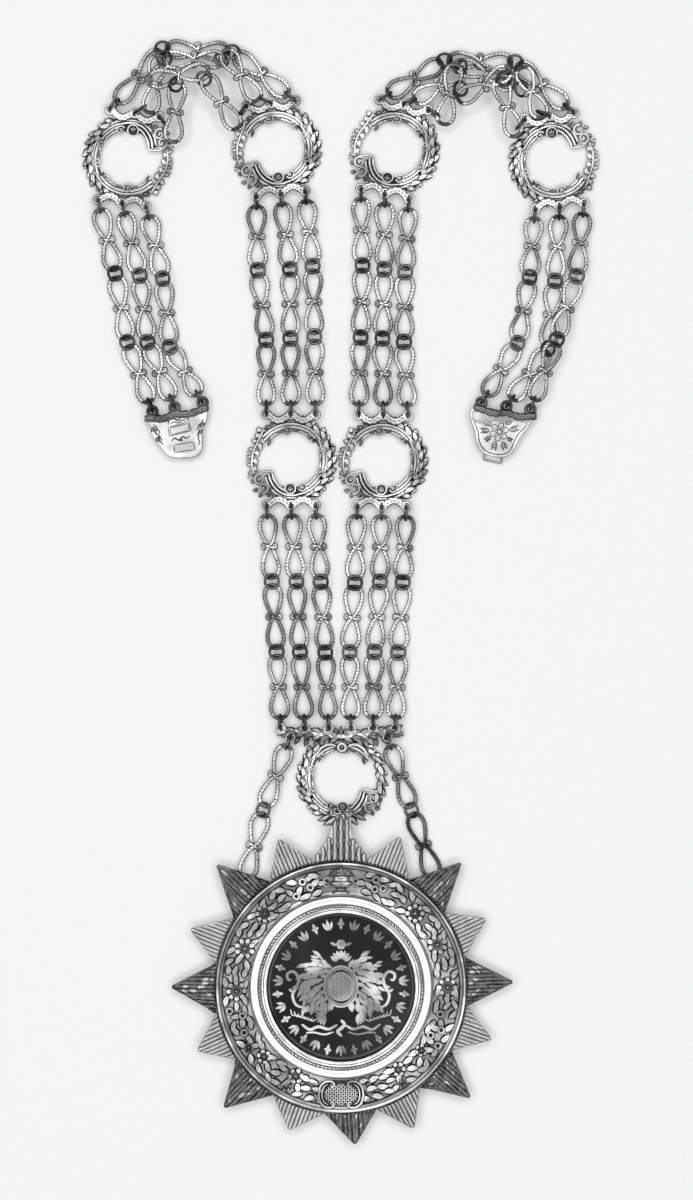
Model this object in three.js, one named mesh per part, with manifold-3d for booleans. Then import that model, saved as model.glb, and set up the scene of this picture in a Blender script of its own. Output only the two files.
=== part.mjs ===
// Mayoral chain of office, laid flat with its clasp undone.
//
// Frame: millimetres, +Z up off the table, +Y towards the arches of the chain, +X to the right.
// The origin is on the table, under the middle of the whole piece.
//
// Three strands of figure-eight links run from clasp to clasp through six wreath medallions and
// the garland bar of a seventh, from which the sixteen-ray star badge hangs.

import * as THREE from 'three';
import { mergeVertices } from 'three/addons/utils/BufferGeometryUtils.js';
import Module from 'manifold-3d';

const wasm = await Module();
wasm.setup();

// ---------------------------------------------------------------- driving dimensions, mm

const GAP = 0.3; // between pieces that touch

const LINK = { length: 26.8, width: 7.8, waist: 4.4, wire: 1.4, level: 1.6, shoulder: 5.2, nose: 1.9, crotch: 2.4 };
const RING = { radius: 2.95, wire: 0.5, standingHeight: 3.55, reach: 2.75, sides: 3, steps: 6 };
const TAUT = 2.3; // the two link ends inside one ring are at most this far apart
const SLACK = 0.6; // and at least this far apart

const WREATH = { tip: 18.7, valley: 17.2, leaves: 12, height: 2.6, hole: 12, ridge: 14.2, ridgeHeight: 3.3 };
const EYE = { spacing: 10.3, offset: 19.0, hole: 1.47, bottom: 2.4, top: 4.2 };

const BADGE = { x: 0, y: -165.7, segments: 30 };
const RAY = { bottom: 3.8, top: 5.2, valley: 53.4, tip: 0.45 }; // tip: half a tip's width, degrees
const HOOK = { inner: 76.2, outer: 77.2, half: 1.5, bottom: 0.8 }; // the lip behind the top ray
const BACK = { radius: 50, top: 3.5 };
const FRAME_BOTTOM = RAY.top + GAP;
const ROPE = { radius: 34.35, wire: 0.35, level: 2.5 };

const SILVER = { color: 0xb9bbbd, roughness: 0.3, metalness: 1 };
const DARK_SILVER = { color: 0x6d6f72, roughness: 0.35, metalness: 1 };
const ENAMEL = { color: 0x1c1c1f, roughness: 0.12, metalness: 0 };

// ---------------------------------------------------------------- solids and booleans

// A closed three.js geometry as a manifold solid.
function solid(geometry) {
  const bare = geometry.index ? geometry.toNonIndexed() : geometry.clone();
  bare.deleteAttribute('normal');
  bare.deleteAttribute('uv');
  const merged = mergeVertices(bare, 1e-4);
  return new wasm.Manifold(new wasm.Mesh({
    numProp: 3,
    vertProperties: new Float32Array(merged.attributes.position.array),
    triVerts: new Uint32Array(merged.index.array),
  }));
}

// A manifold solid back as a three.js geometry.
function geometryOf(manifold) {
  const mesh = manifold.getMesh();
  const geometry = new THREE.BufferGeometry();
  geometry.setAttribute('position', new THREE.BufferAttribute(new Float32Array(mesh.vertProperties), 3));
  geometry.setIndex(Array.from(mesh.triVerts));
  return geometry;
}

const joined = (geometries) => geometryOf(geometries.map(solid).reduce((sum, next) => sum.add(next)));

const cutFrom = (body, tools) => geometryOf(
  tools.map(solid).reduce((rest, tool) => rest.subtract(tool), solid(body)));

// A closed outline with holes, extruded from one height to another.
function plate(outline, holes, bottom, top) {
  const shape = new THREE.Shape(outline.map(([x, y]) => new THREE.Vector2(x, y)));
  shape.holes = holes.map((hole) => new THREE.Path(hole.map(([x, y]) => new THREE.Vector2(x, y))));
  const geometry = new THREE.ExtrudeGeometry(shape, { depth: top - bottom, bevelEnabled: false });
  return geometry.translate(0, 0, bottom);
}

const turnedRing = (profile) => new THREE.LatheGeometry(
  [...profile, profile[0]].map(([r, z]) => new THREE.Vector2(r, z)), BADGE.segments).rotateX(Math.PI / 2);

const polar = (degrees, radius) => [
  radius * Math.cos(THREE.MathUtils.degToRad(degrees)), radius * Math.sin(THREE.MathUtils.degToRad(degrees))];

// A small many-sided hole or lug around a point.
const roundOutline = ([x, y], radius, sides) => Array.from({ length: sides }, (_, i) => {
  const [dx, dy] = polar((360 * (i + 0.5)) / sides, radius);
  return [x + dx, y + dy];
});

const part = new THREE.Group();

function addPiece(name, geometry, finish, parent = part) {
  const mesh = new THREE.Mesh(geometry, new THREE.MeshStandardMaterial(finish));
  mesh.name = name;
  parent.add(mesh);
  return mesh;
}

// ---------------------------------------------------------------- wreath medallions

// The bar of three eyes that is soldered across the top or the foot of a wreath.
function eyeBar(side) {
  const s = EYE.spacing;
  const upper = [[-12.2, 1.1], [-s, 2.1], [-8.4, 1.1], [-5.2, -0.4], [-1.9, 1.3], [0, 2.1],
    [1.9, 1.3], [5.2, -0.4], [8.4, 1.1], [s, 2.1], [12.2, 1.1]];
  const lower = [[12.2, -1.1], [s, -2.1], [5.2, -2.6], [0, -2.2], [-5.2, -2.6], [-s, -2.1], [-12.2, -1.1]];
  const outline = [...upper, ...lower].map(([x, y]) => [side * x, side * (EYE.offset + y)]);
  const holes = [-s, 0, s].map((x) => roundOutline([side * x, side * EYE.offset], EYE.hole, 5));
  return plate(outline, holes, EYE.bottom, EYE.top);
}

// The opening of the scroll frame, which breaks off square on one side. hand is 1 for a frame
// broken on its left and -1 for its mirror image.
function scrollOpening(hand) {
  const arc = [150, 120, 90, 60, 30, 0, -30, -60, -90].map((a) => polar(a, WREATH.hole));
  const breakStep = [[-7.2, -9.6], [-7.4, -4.4], [-13.8, -4.4], [-14.9, 0], [-13.6, 5.4]];
  return [...arc, ...breakStep].map(([x, y]) => [hand * x, y]);
}

function wreathRing(hand) {
  const outline = Array.from({ length: 2 * WREATH.leaves }, (_, i) => polar(
    (180 * i) / WREATH.leaves, i % 2 ? WREATH.tip : WREATH.valley));
  return plate(outline, [scrollOpening(hand)], 0, WREATH.height);
}

// The raised rim of the scroll frame, open at the break.
function scrollRidge(hand) {
  const angles = [150, 120, 90, 60, 30, 0, -30, -60, -90, -115];
  const outer = angles.map((a) => polar(a, WREATH.ridge));
  const inner = angles.map((a) => polar(a, WREATH.hole + 0.2)).reverse();
  return plate([...outer, ...inner].map(([x, y]) => [hand * x, y]), [], 0.4, WREATH.ridgeHeight);
}

const medallions = {
  wreath_1: { x: -89.2, y: 181.4, tilt: -8, turned: true },
  wreath_2: { x: -27.3, y: 185.6, tilt: 6, turned: false },
  wreath_3: { x: -21.0, y: 55.0, tilt: 0, turned: false },
  wreath_5: { x: 17.4, y: 54.6, tilt: -1, turned: false },
  wreath_6: { x: 22.3, y: 185.2, tilt: -12, turned: false },
  wreath_7: { x: 89.5, y: 180.2, tilt: 6.5, turned: true },
};

for (const [name, place] of Object.entries(medallions)) {
  const mesh = addPiece(name, joined([wreathRing(1), scrollRidge(1), eyeBar(1), eyeBar(-1)]), SILVER);
  mesh.position.set(place.x, place.y, 0);
  mesh.rotation.z = THREE.MathUtils.degToRad(place.tilt + (place.turned ? 180 : 0));
}

// Where the eye number column (-1, 0, 1 from the left) at the top (side 1) or foot (side -1) lies.
function wreathEye(name, side, column) {
  const { x, y, tilt } = medallions[name];
  const local = new THREE.Vector2(column * EYE.spacing, side * EYE.offset);
  local.rotateAround(new THREE.Vector2(), THREE.MathUtils.degToRad(tilt));
  return [x + local.x, y + local.y];
}

// ---------------------------------------------------------------- the lowest wreath and its bar

const BAR = { left: -27.2, right: 26.2, top: -55.4, foot: -62.8, eyes: -57.6, chainEyes: -60.9 };
const barColumns = [-25.2, -15.2, -5.2, 4.2, 13.4, 22.8];
const chainColumns = [-21.2, 19.4];
const LOW_WREATH = { x: 0.4, y: -78.6 };

function garlandBar() {
  const middle = (BAR.top + BAR.foot) / 2;
  const scallops = [...barColumns].reverse().flatMap((x) => [
    [x + 2.2, BAR.top - 0.9], [x, BAR.top + 0.3], [x - 2.2, BAR.top - 0.9]]);
  const outline = [[BAR.left - 1.2, middle], [BAR.left, BAR.foot], [BAR.right, BAR.foot], [BAR.right + 1.2, middle],
    ...scallops];
  const holes = [
    ...barColumns.map((x) => roundOutline([x, BAR.eyes], EYE.hole, 5)),
    ...chainColumns.map((x) => roundOutline([x, BAR.chainEyes], EYE.hole, 5))];
  return plate(outline, holes, EYE.bottom, EYE.top);
}

const KEEL = { left: -16.5, right: 15.5, top: -60.4, foot: -62.7 }; // the bar's rest on the table
const garlandKeel = plate([[KEEL.left, KEEL.top], [KEEL.left, KEEL.foot], [KEEL.right, KEEL.foot],
  [KEEL.right, KEEL.top]], [], 0, EYE.top - 0.2);
const lowWreath = [wreathRing(-1), scrollRidge(-1)].map((g) => g.translate(LOW_WREATH.x, LOW_WREATH.y, 0));
addPiece('wreath_4', joined([...lowWreath, garlandBar(), garlandKeel]), SILVER);

// ---------------------------------------------------------------- clasp plates

// Each plate is drawn about its own middle, then turned and set at the strand ends.
const leftClasp = { x: -68.9, y: 66.4, eyes: [[-10.1, 8.8], [-0.8, 10.5], [10.9, 12.6]] };
const rightClasp = { x: 67.2, y: 67.6, eyes: [[-8.4, 11.3], [2.1, 9.7], [12.2, 8.4]] };

const claspEye = (clasp, index) => [clasp.x + clasp.eyes[index][0], clasp.y + clasp.eyes[index][1]];

function claspPlate(clasp, outline, bottom, top, windows) {
  const lugs = clasp.eyes.flatMap(([x, y]) => [
    [x - 2.2, y + 0.2], [x - 1.1, y + 2.1], [x + 1.1, y + 2.1], [x + 2.2, y + 0.2]]);
  const root = [...clasp.eyes].reverse().map(([x, y]) => [x, y - 4.2]);
  const holes = clasp.eyes.map((eye) => roundOutline(eye, EYE.hole, 5));
  const eyes = plate([...lugs, ...root].reverse(), holes, EYE.bottom, EYE.top);
  const body = plate(outline, [], bottom, top);
  const pockets = windows.map((w) => plate(w, [], top - WINDOW_DEPTH, top + 1));
  return cutFrom(joined([body, eyes]), pockets);
}

const leftOutline = [[-12.6, 5.4], [-11.6, 0.6], [-9.0, -3.0], [-6.1, -6.4], [-3.1, -10.1], [0.5, -10.7],
  [6.6, -10.1], [10.4, -7.9], [11.0, -4.0], [12.6, 3.6], [12.9, 9.0], [0, 7.6]];
const leftWindows = [
  [[-4.2, -1.0], [5.4, 0.6], [4.6, 4.6], [-5.0, 3.0]],
  [[-1.6, -8.2], [6.8, -7.0], [6.2, -3.8], [-2.0, -5.0]]];
const WINDOW_DEPTH = 0.9;
const leftPlate = addPiece('clasp_catch', claspPlate(leftClasp, leftOutline, 0, 3.6, leftWindows), SILVER);
leftPlate.position.set(leftClasp.x, leftClasp.y, 0);

const rightOutline = [[-12.8, 7.6], [-13.0, 5.1], [-11.4, 0.9], [-10.8, -3.4], [-8.2, -8.9], [-4.7, -10.8], [-0.9, -11.6],
  [2.4, -10.9], [4.9, -9.1], [6.4, -4.6], [10.6, 0.1], [11.8, 3.6], [14.2, 5.2], [2.0, 7.0]];
const rightPlate = addPiece('clasp_plate', claspPlate(rightClasp, rightOutline, 2.0, 4.2, []), SILVER);
rightPlate.position.set(rightClasp.x, rightClasp.y, 0);

const TONGUE = { x: 64.8, y: 60.2, turn: -13, width: 8.0, length: 12.5, thick: 1.7 };
const tongue = addPiece('clasp_tongue',
  new THREE.BoxGeometry(TONGUE.width, TONGUE.length, TONGUE.thick).translate(0, 0, TONGUE.thick / 2), SILVER);
tongue.position.set(TONGUE.x, TONGUE.y, 0);
tongue.rotation.z = THREE.MathUtils.degToRad(TONGUE.turn);

// ---------------------------------------------------------------- chain strands

// A figure-eight link as a plate with two loops, lying along +Y about the origin.
function linkPlate(length) {
  const half = length / 2;
  const wide = LINK.width / 2;
  const waist = LINK.waist / 2;
  const { wire, shoulder, nose, crotch } = LINK;
  const outline = [[waist, 0], [wide, half - shoulder], [nose, half], [-nose, half], [-wide, half - shoulder],
    [-waist, 0], [-wide, shoulder - half], [-nose, -half], [nose, -half], [wide, shoulder - half]];
  const loop = (side) => [[0, side * crotch], [side * (wide - wire), side * (half - shoulder - 0.2)],
    [0, side * (half - wire)], [-side * (wide - wire), side * (half - shoulder - 0.2)]];
  return plate(outline, [loop(1), loop(-1)], -wire / 2, wire / 2);
}

// The link from one end point to another.
function linkBetween(from, to) {
  const along = new THREE.Vector3().subVectors(to, from);
  const geometry = linkPlate(along.length());
  const turn = new THREE.Matrix4().makeRotationZ(Math.atan2(along.y, along.x) - Math.PI / 2);
  const pitch = new THREE.Matrix4().makeRotationX(Math.asin(along.z / along.length()));
  geometry.applyMatrix4(turn.multiply(pitch));
  return geometry.translate((from.x + to.x) / 2, (from.y + to.y) / 2, (from.z + to.z) / 2);
}

const ringShape = () => new THREE.TorusGeometry(RING.radius, RING.wire, RING.sides, RING.steps);

const lyingRing = (centre) => ringShape().translate(centre.x, centre.y, centre.z);

// A ring on edge, its plane holding the given direction.
function standingRing(centre, degrees) {
  const geometry = ringShape().rotateX(Math.PI / 2).rotateZ(THREE.MathUtils.degToRad(degrees));
  return geometry.translate(centre.x, centre.y, centre.z);
}

const point = ([x, y, z = LINK.level]) => new THREE.Vector3(x, y, z);

// The link that hangs between two ring centres, at its own length unless the rings pull it long.
function linkOnRings(a, b) {
  const along = new THREE.Vector3().subVectors(b, a);
  const length = Math.max(Math.min(LINK.length, along.length() - SLACK), along.length() - TAUT);
  const middle = new THREE.Vector3().addVectors(a, b).multiplyScalar(0.5);
  along.setLength(length / 2);
  return linkBetween(middle.clone().sub(along), middle.clone().add(along));
}

// The ring that stands in an eye and reaches out of it in the given direction.
function leaningRing(eye, degrees) {
  const [dx, dy] = polar(degrees, RING.reach);
  const centre = new THREE.Vector3(eye[0] + dx, eye[1] + dy, RING.standingHeight);
  return { ring: standingRing(centre, degrees), centre };
}

// The ring that stands in an eye and reaches towards the strand.
const eyeRing = (eye, towards) => leaningRing(
  eye, THREE.MathUtils.radToDeg(Math.atan2(towards.y - eye[1], towards.x - eye[0])));

// Three links between two eyes, through two loose rings.
function strand(name, startEye, first, second, endEye, levels = {}) {
  const ringA = point(first);
  const ringB = point(second);
  const start = eyeRing(startEye, ringA);
  const end = eyeRing(endEye, ringB);
  const low = (centre, level = LINK.level) => new THREE.Vector3(centre.x, centre.y, level);
  const pieces = [
    linkOnRings(low(start.centre, levels.start), ringA), linkOnRings(ringA, ringB),
    linkOnRings(ringB, low(end.centre, levels.end)),
    start.ring, end.ring, lyingRing(ringA), lyingRing(ringB)];
  addPiece(name, joined(pieces), SILVER);
}

// A strand whose links lie askew: link ends, loose rings and the turn of each standing ring are given.
function looseStrand(name, links, lying, standing) {
  const pieces = [
    ...links.map(([from, to]) => linkBetween(point(from), point(to))),
    ...lying.map((centre) => lyingRing(point(centre))),
    ...standing.map(([eye, degrees]) => leaningRing(eye, degrees).ring)];
  addPiece(name, joined(pieces), SILVER);
}

const top = (name, column) => wreathEye(name, 1, column);
const foot = (name, column) => wreathEye(name, -1, column);
const barEye = (index) => [barColumns[index], BAR.eyes];

// Section 1, left clasp to wreath 1.
strand('strand_1a', claspEye(leftClasp, 0), [-89.6, 104.2], [-94.6, 133.1], foot('wreath_1', -1));
strand('strand_1b', claspEye(leftClasp, 1), [-81.1, 104.2], [-84.4, 132.2], foot('wreath_1', 0));
strand('strand_1c', claspEye(leftClasp, 2), [-71.7, 102.2], [-74.7, 130.9], foot('wreath_1', 1));

// Section 2, the left arch: outer strand on the table, middle strand over it, inner strand on top.
const MIDDLE = 4.7;
const INNER = 7.8;
strand('strand_2a', top('wreath_1', -1), [-74.8, 227.5], [-45.6, 226.0], top('wreath_2', 1));
looseStrand('strand_2b',
  [[[-80.3, 199.3, 5.3], [-75.8, 224.9, MIDDLE]], [[-74.9, 222.2, MIDDLE], [-48.2, 222.6, MIDDLE]],
    [[-49.3, 226.9, MIDDLE], [-34.4, 204.6, 5.4]]],
  [[-74.0, 222.9, MIDDLE], [-50.0, 222.4, MIDDLE]],
  [[top('wreath_1', 0), 34], [top('wreath_2', 0), 158]]);
looseStrand('strand_2c',
  [[[-70.5, 187.0, 5.0], [-68.1, 213.3, INNER]], [[-80.9, 213.0, INNER], [-54.6, 217.5, INNER]],
    [[-57.2, 215.9, INNER], [-43.0, 192.9, 5.0]]],
  [[-68.9, 211.6, INNER], [-57.3, 213.9, INNER]],
  [[top('wreath_1', 1), -50], [top('wreath_2', -1), 235]]);

// Sections 3 and 4, the left side down to the garland bar.
strand('strand_3a', foot('wreath_2', -1), [-34.9, 134.4], [-31.4, 105.2], top('wreath_3', -1));
strand('strand_3b', foot('wreath_2', 0), [-21.4, 134.8], [-21.2, 105.8], top('wreath_3', 0));
strand('strand_3c', foot('wreath_2', 1), [-11.9, 136.1], [-11.2, 106.6], top('wreath_3', 1));
strand('strand_4a', foot('wreath_3', -1), [-29.0, 4.0], [-27.0, -25.6], barEye(0));
strand('strand_4b', foot('wreath_3', 0), [-18.7, 4.0], [-17.2, -25.6], barEye(1));
strand('strand_4c', foot('wreath_3', 1), [-8.5, 3.8], [-6.6, -25.8], barEye(2));

// Sections 5 and 6, the right side back up.
strand('strand_5a', barEye(3), [3.6, -25.8], [5.8, 3.4], foot('wreath_5', -1));
strand('strand_5b', barEye(4), [14.0, -25.6], [16.3, 3.8], foot('wreath_5', 0));
strand('strand_5c', barEye(5), [24.0, -25.8], [25.9, 3.6], foot('wreath_5', 1));
strand('strand_6a', top('wreath_5', -1), [8.2, 106.2], [9.0, 136.4], foot('wreath_6', -1));
strand('strand_6b', top('wreath_5', 0), [17.4, 105.8], [18.2, 134.8], foot('wreath_6', 0));
strand('strand_6c', top('wreath_5', 1), [26.4, 104.4], [26.9, 133.6], foot('wreath_6', 1));

// Section 7, the right arch, laid as the left one.
strand('strand_7a', top('wreath_6', -1), [43.4, 222.5], [73.0, 221.8], top('wreath_7', 1));
looseStrand('strand_7b',
  [[[30.2, 205.1, 3.2], [52.2, 218.5, MIDDLE]], [[48.2, 220.6, MIDDLE], [73.6, 211.6, MIDDLE]],
    [[75.2, 219.6, 5.0], [84.4, 197.6, 5.2]]],
  [[49.8, 219.7, MIDDLE], [75.4, 210.0, MIDDLE]],
  [[top('wreath_6', 0), 26], [top('wreath_7', 0), 160]]);
looseStrand('strand_7c',
  [[[42.8, 194.5, 4.6], [47.9, 220.7, 7.4]], [[48.4, 204.7, 6.8], [71.2, 218.2, INNER]],
    [[65.7, 215.2, INNER], [73.4, 189.5, 5.0]]],
  [[50.0, 210.0, 6.5], [68.2, 213.8, INNER]],
  [[top('wreath_6', 1), -32], [top('wreath_7', -1), 230]]);

// Section 8, wreath 7 to the right clasp; the outer two strands cross near its end.
strand('strand_8a', foot('wreath_7', -1), [79.0, 131.5], [74.0, 103.8], claspEye(rightClasp, 0));
strand('strand_8b', foot('wreath_7', 0), [89.7, 130.0], [86.8, 101.6], claspEye(rightClasp, 1));
strand('strand_8c', foot('wreath_7', 1), [98.7, 131.8, 3.0], [90.2, 105.2, 4.8], claspEye(rightClasp, 2),
  { end: 5.0 });

// The two short chains from the ends of the bar to ears behind the star.
const EAR = { reach: 58.0, hole: 1.25, holeAt: 56.4, thick: 1.4, bottom: 0.3, top: 3.3, level: 1.8 };
const sideChains = [
  { name: 'side_chain_left', eye: [chainColumns[0], BAR.chainEyes], ring: [-32.6, -91.8], angle: 132.9 },
  { name: 'side_chain_right', eye: [chainColumns[1], BAR.chainEyes], ring: [29.6, -92.0], angle: 48.2 },
];
const badgePoint = (degrees, radius) => {
  const [x, y] = polar(degrees, radius);
  return [BADGE.x + x, BADGE.y + y];
};
for (const { name, eye, ring, angle } of sideChains) {
  const middle = point(ring);
  const start = eyeRing(eye, middle);
  const end = point([...badgePoint(angle, EAR.holeAt + RING.radius), EAR.level]);
  addPiece(name, joined([
    linkOnRings(new THREE.Vector3(start.centre.x, start.centre.y, LINK.level), middle), linkOnRings(middle, end),
    start.ring, lyingRing(middle), lyingRing(end)]), SILVER);
}

// ---------------------------------------------------------------- star badge

const badge = new THREE.Group();
badge.position.set(BADGE.x, BADGE.y, 0);
part.add(badge);

// Long and short rays by turns; the top one runs up as a narrow tab over the low wreath.
const rays = [[1.6, 71.8], [25.2, 66.8], [45.9, 72.0], [68.6, 67.2], null, [112.8, 66.8], [135.5, 72.6], [159, 67.2],
  [180, 70.8], [203.9, 65.5], [225.9, 70.1], [250, 63.8], [275.1, 66.0], [297.2, 66.4], [319.4, 71.0], [340.8, 66.4]];
const topTab = [[9.0, 54.2], [6.8, 61.2], [4.3, 62.4], [4.2, 77.0], [-4.2, 77.0], [-4.3, 62.4], [-6.8, 61.2], [-9.0, 54.2]];
const starOutline = rays.flatMap((ray, i) => {
  if (!ray) return topTab;
  const [angle, radius] = ray;
  const next = rays[(i + 1) % rays.length];
  const tip = [polar(angle - RAY.tip, radius), polar(angle + RAY.tip, radius)];
  const turned = next && next[0] < angle ? next[0] + 360 : next?.[0];
  return next ? [...tip, polar((angle + turned) / 2, RAY.valley)] : tip;
});
const hookLip = plate([[-HOOK.half, HOOK.inner], [HOOK.half, HOOK.inner], [HOOK.half, HOOK.outer],
  [-HOOK.half, HOOK.outer]], [], HOOK.bottom, RAY.bottom + 0.4);
addPiece('ray_star', joined([plate(starOutline, [], RAY.bottom, RAY.top), hookLip]), DARK_SILVER, badge);

const backDisc = new THREE.CylinderGeometry(BACK.radius, BACK.radius, BACK.top, BADGE.segments)
  .rotateX(Math.PI / 2).translate(0, 0, BACK.top / 2);
const ear = ({ angle }) => {
  const half = EAR.thick / 2;
  const block = plate([[48, -half], [EAR.reach, -half], [EAR.reach, half], [48, half]], [], EAR.bottom, EAR.top);
  const bore = new THREE.CylinderGeometry(EAR.hole, EAR.hole, 4, 6).translate(EAR.holeAt, 0, EAR.level);
  return cutFrom(block, [bore]).rotateZ(THREE.MathUtils.degToRad(angle));
};
addPiece('back_plate', joined([backDisc, ...sideChains.map(ear)]), DARK_SILVER, badge);

const z0 = FRAME_BOTTOM;
addPiece('floral_frame', turnedRing([[38.4, z0], [53.3, z0], [53.3, z0 + 1.3], [51.5, z0 + 2.8],
  [49.6, z0 + 2.1], [44, z0 + 3.0], [38.4, z0 + 2.2]]), SILVER, badge);
addPiece('polished_band', turnedRing([[33.9, z0], [38.1, z0], [38.1, z0 + 2.0], [36.6, z0 + 3.1],
  [35.2, z0 + 2.6], [35.2, z0 + 1.6], [33.9, z0 + 1.6]]), SILVER, badge);
addPiece('rope_ring', new THREE.TorusGeometry(ROPE.radius, ROPE.wire, 4, BADGE.segments)
  .translate(0, 0, z0 + ROPE.level), SILVER, badge);
addPiece('bezel', turnedRing([[31.5, z0], [33.5, z0], [33.5, z0 + 2.3], [32.6, z0 + 2.3], [31.5, z0 + 1.9]]), SILVER, badge);
addPiece('roundel', new THREE.LatheGeometry([[0, z0], [31.15, z0], [31.15, z0 + 1.2], [20, z0 + 1.7], [0, z0 + 1.9]]
  .map(([r, z]) => new THREE.Vector2(r, z)), BADGE.segments).rotateX(Math.PI / 2), ENAMEL, badge);

export default part;
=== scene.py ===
"""A silver chain of office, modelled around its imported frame.

Three rows of figure-eight links hang between seven wreath medallions and carry a rayed
star badge, which has a floral frame and a dark enamel roundel. Sizes in the classes are
in millimetres; meshes are made in metres.
"""
import logging
import math
from collections.abc import Sequence
from dataclasses import dataclass
from enum import Enum
from typing import Any

import bpy
import numpy as np
from mathutils import Matrix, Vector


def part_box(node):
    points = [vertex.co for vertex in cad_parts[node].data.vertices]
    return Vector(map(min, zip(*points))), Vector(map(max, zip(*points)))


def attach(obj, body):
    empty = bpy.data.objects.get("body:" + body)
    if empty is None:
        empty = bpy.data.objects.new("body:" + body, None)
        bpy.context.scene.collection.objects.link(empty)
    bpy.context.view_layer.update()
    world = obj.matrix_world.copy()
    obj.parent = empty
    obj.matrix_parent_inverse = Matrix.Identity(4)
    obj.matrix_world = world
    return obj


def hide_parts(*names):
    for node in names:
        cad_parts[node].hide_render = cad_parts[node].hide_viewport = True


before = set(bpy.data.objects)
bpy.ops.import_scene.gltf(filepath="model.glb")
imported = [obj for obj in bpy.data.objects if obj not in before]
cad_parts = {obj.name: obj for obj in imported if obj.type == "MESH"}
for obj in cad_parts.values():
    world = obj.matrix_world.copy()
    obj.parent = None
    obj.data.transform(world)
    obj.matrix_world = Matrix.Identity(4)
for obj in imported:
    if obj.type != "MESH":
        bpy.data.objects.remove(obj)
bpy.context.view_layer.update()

LOG = logging.getLogger("chain")
Array = np.ndarray
Point = Sequence[float]
MM = 0.001
FULL = 2 * math.pi
UP = (0.0, 0.0, 1.0)
SMOOTH_ANGLE = math.radians(50)
TURNED_SIDES = 240


# ---- curves


def spline(points: Sequence[Point], per_span: int = 6, closed: bool = False) -> Array:
    """A smooth curve through points.

    Args:
        points: The points, with two or three numbers each.
        per_span: Steps between two points.
        closed: Whether the curve returns to its start.

    Returns:
        The points of the curve, one row each.
    """
    p = np.array([[*q, 0.0][:3] for q in points], float)
    ends = [p[-1:], p, p[:2]] if closed else [2 * p[:1] - p[1:2], p, 2 * p[-1:] - p[-2:-1]]
    knots = np.vstack(ends)
    t = np.linspace(0, 1, per_span, endpoint=False)[:, None]
    spans = []
    for i in range(len(knots) - 3):
        a, b, c, d = knots[i:i + 4]
        spans.append(0.5 * (2 * b + (c - a) * t + (2 * a - 5 * b + 4 * c - d) * t**2
                            + (3 * b - a - 3 * c + d) * t**3))
    curve = np.vstack(spans)
    return curve if closed else np.vstack([curve, p[-1:]])


def polar(degrees: float, radius: float) -> tuple[float, float, float]:
    """The point at an angle and a radius, at height 0."""
    turn = math.radians(degrees)
    return radius * math.cos(turn), radius * math.sin(turn), 0.0


def arc(radius: float, start: float, end: float, z: float = 0.0, step: float = 5.0,
        centre: Point = (0.0, 0.0)) -> Array:
    """An arc in the plane of the table.

    Args:
        radius: Its radius.
        start: The angle it starts at, in degrees.
        end: The angle it ends at.
        z: Its height.
        step: The largest angle between two points.
        centre: The centre's x and y.

    Returns:
        The points of the arc.
    """
    count = max(2, round(abs(end - start) / step) + 1)
    turn = np.radians(np.linspace(start, end, count))
    return np.stack([centre[0] + radius * np.cos(turn), centre[1] + radius * np.sin(turn),
                     np.full(count, z)], 1)


def mirrored(side: int, *points: Point) -> list[tuple[float, ...]]:
    """The points, or for side -1 their mirror images across the middle."""
    return [(side * x, *rest) for x, *rest in points]


def unit(vectors: Array) -> Array:
    """The vectors scaled to length one."""
    return vectors / np.maximum(np.linalg.norm(vectors, axis=-1, keepdims=True), 1e-9)


def taper(count: int, ends: float = 0.35, share: float = 0.2) -> Array:
    """Widths that shrink towards both ends of a stroke.

    Args:
        count: How many points the stroke has.
        ends: The width at the very ends, as a share of the full one.
        share: The part of the stroke that each end takes.

    Returns:
        One factor per point.
    """
    t = np.linspace(0, 1, count)
    near = np.clip(np.minimum(t, 1 - t) / share, 0, 1)
    return ends + (1 - ends) * np.sqrt(near * (2 - near))


@dataclass(frozen=True)
class Rope:
    """The twist of a roped wire; where its ridge falls below valley, the wire takes a darker finish as
    painted shade.
    """

    strands: int = 2
    pitch: float = 3.2
    depth: float = 0.2
    valley: float = 0.0


# ---- surfaces


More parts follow.
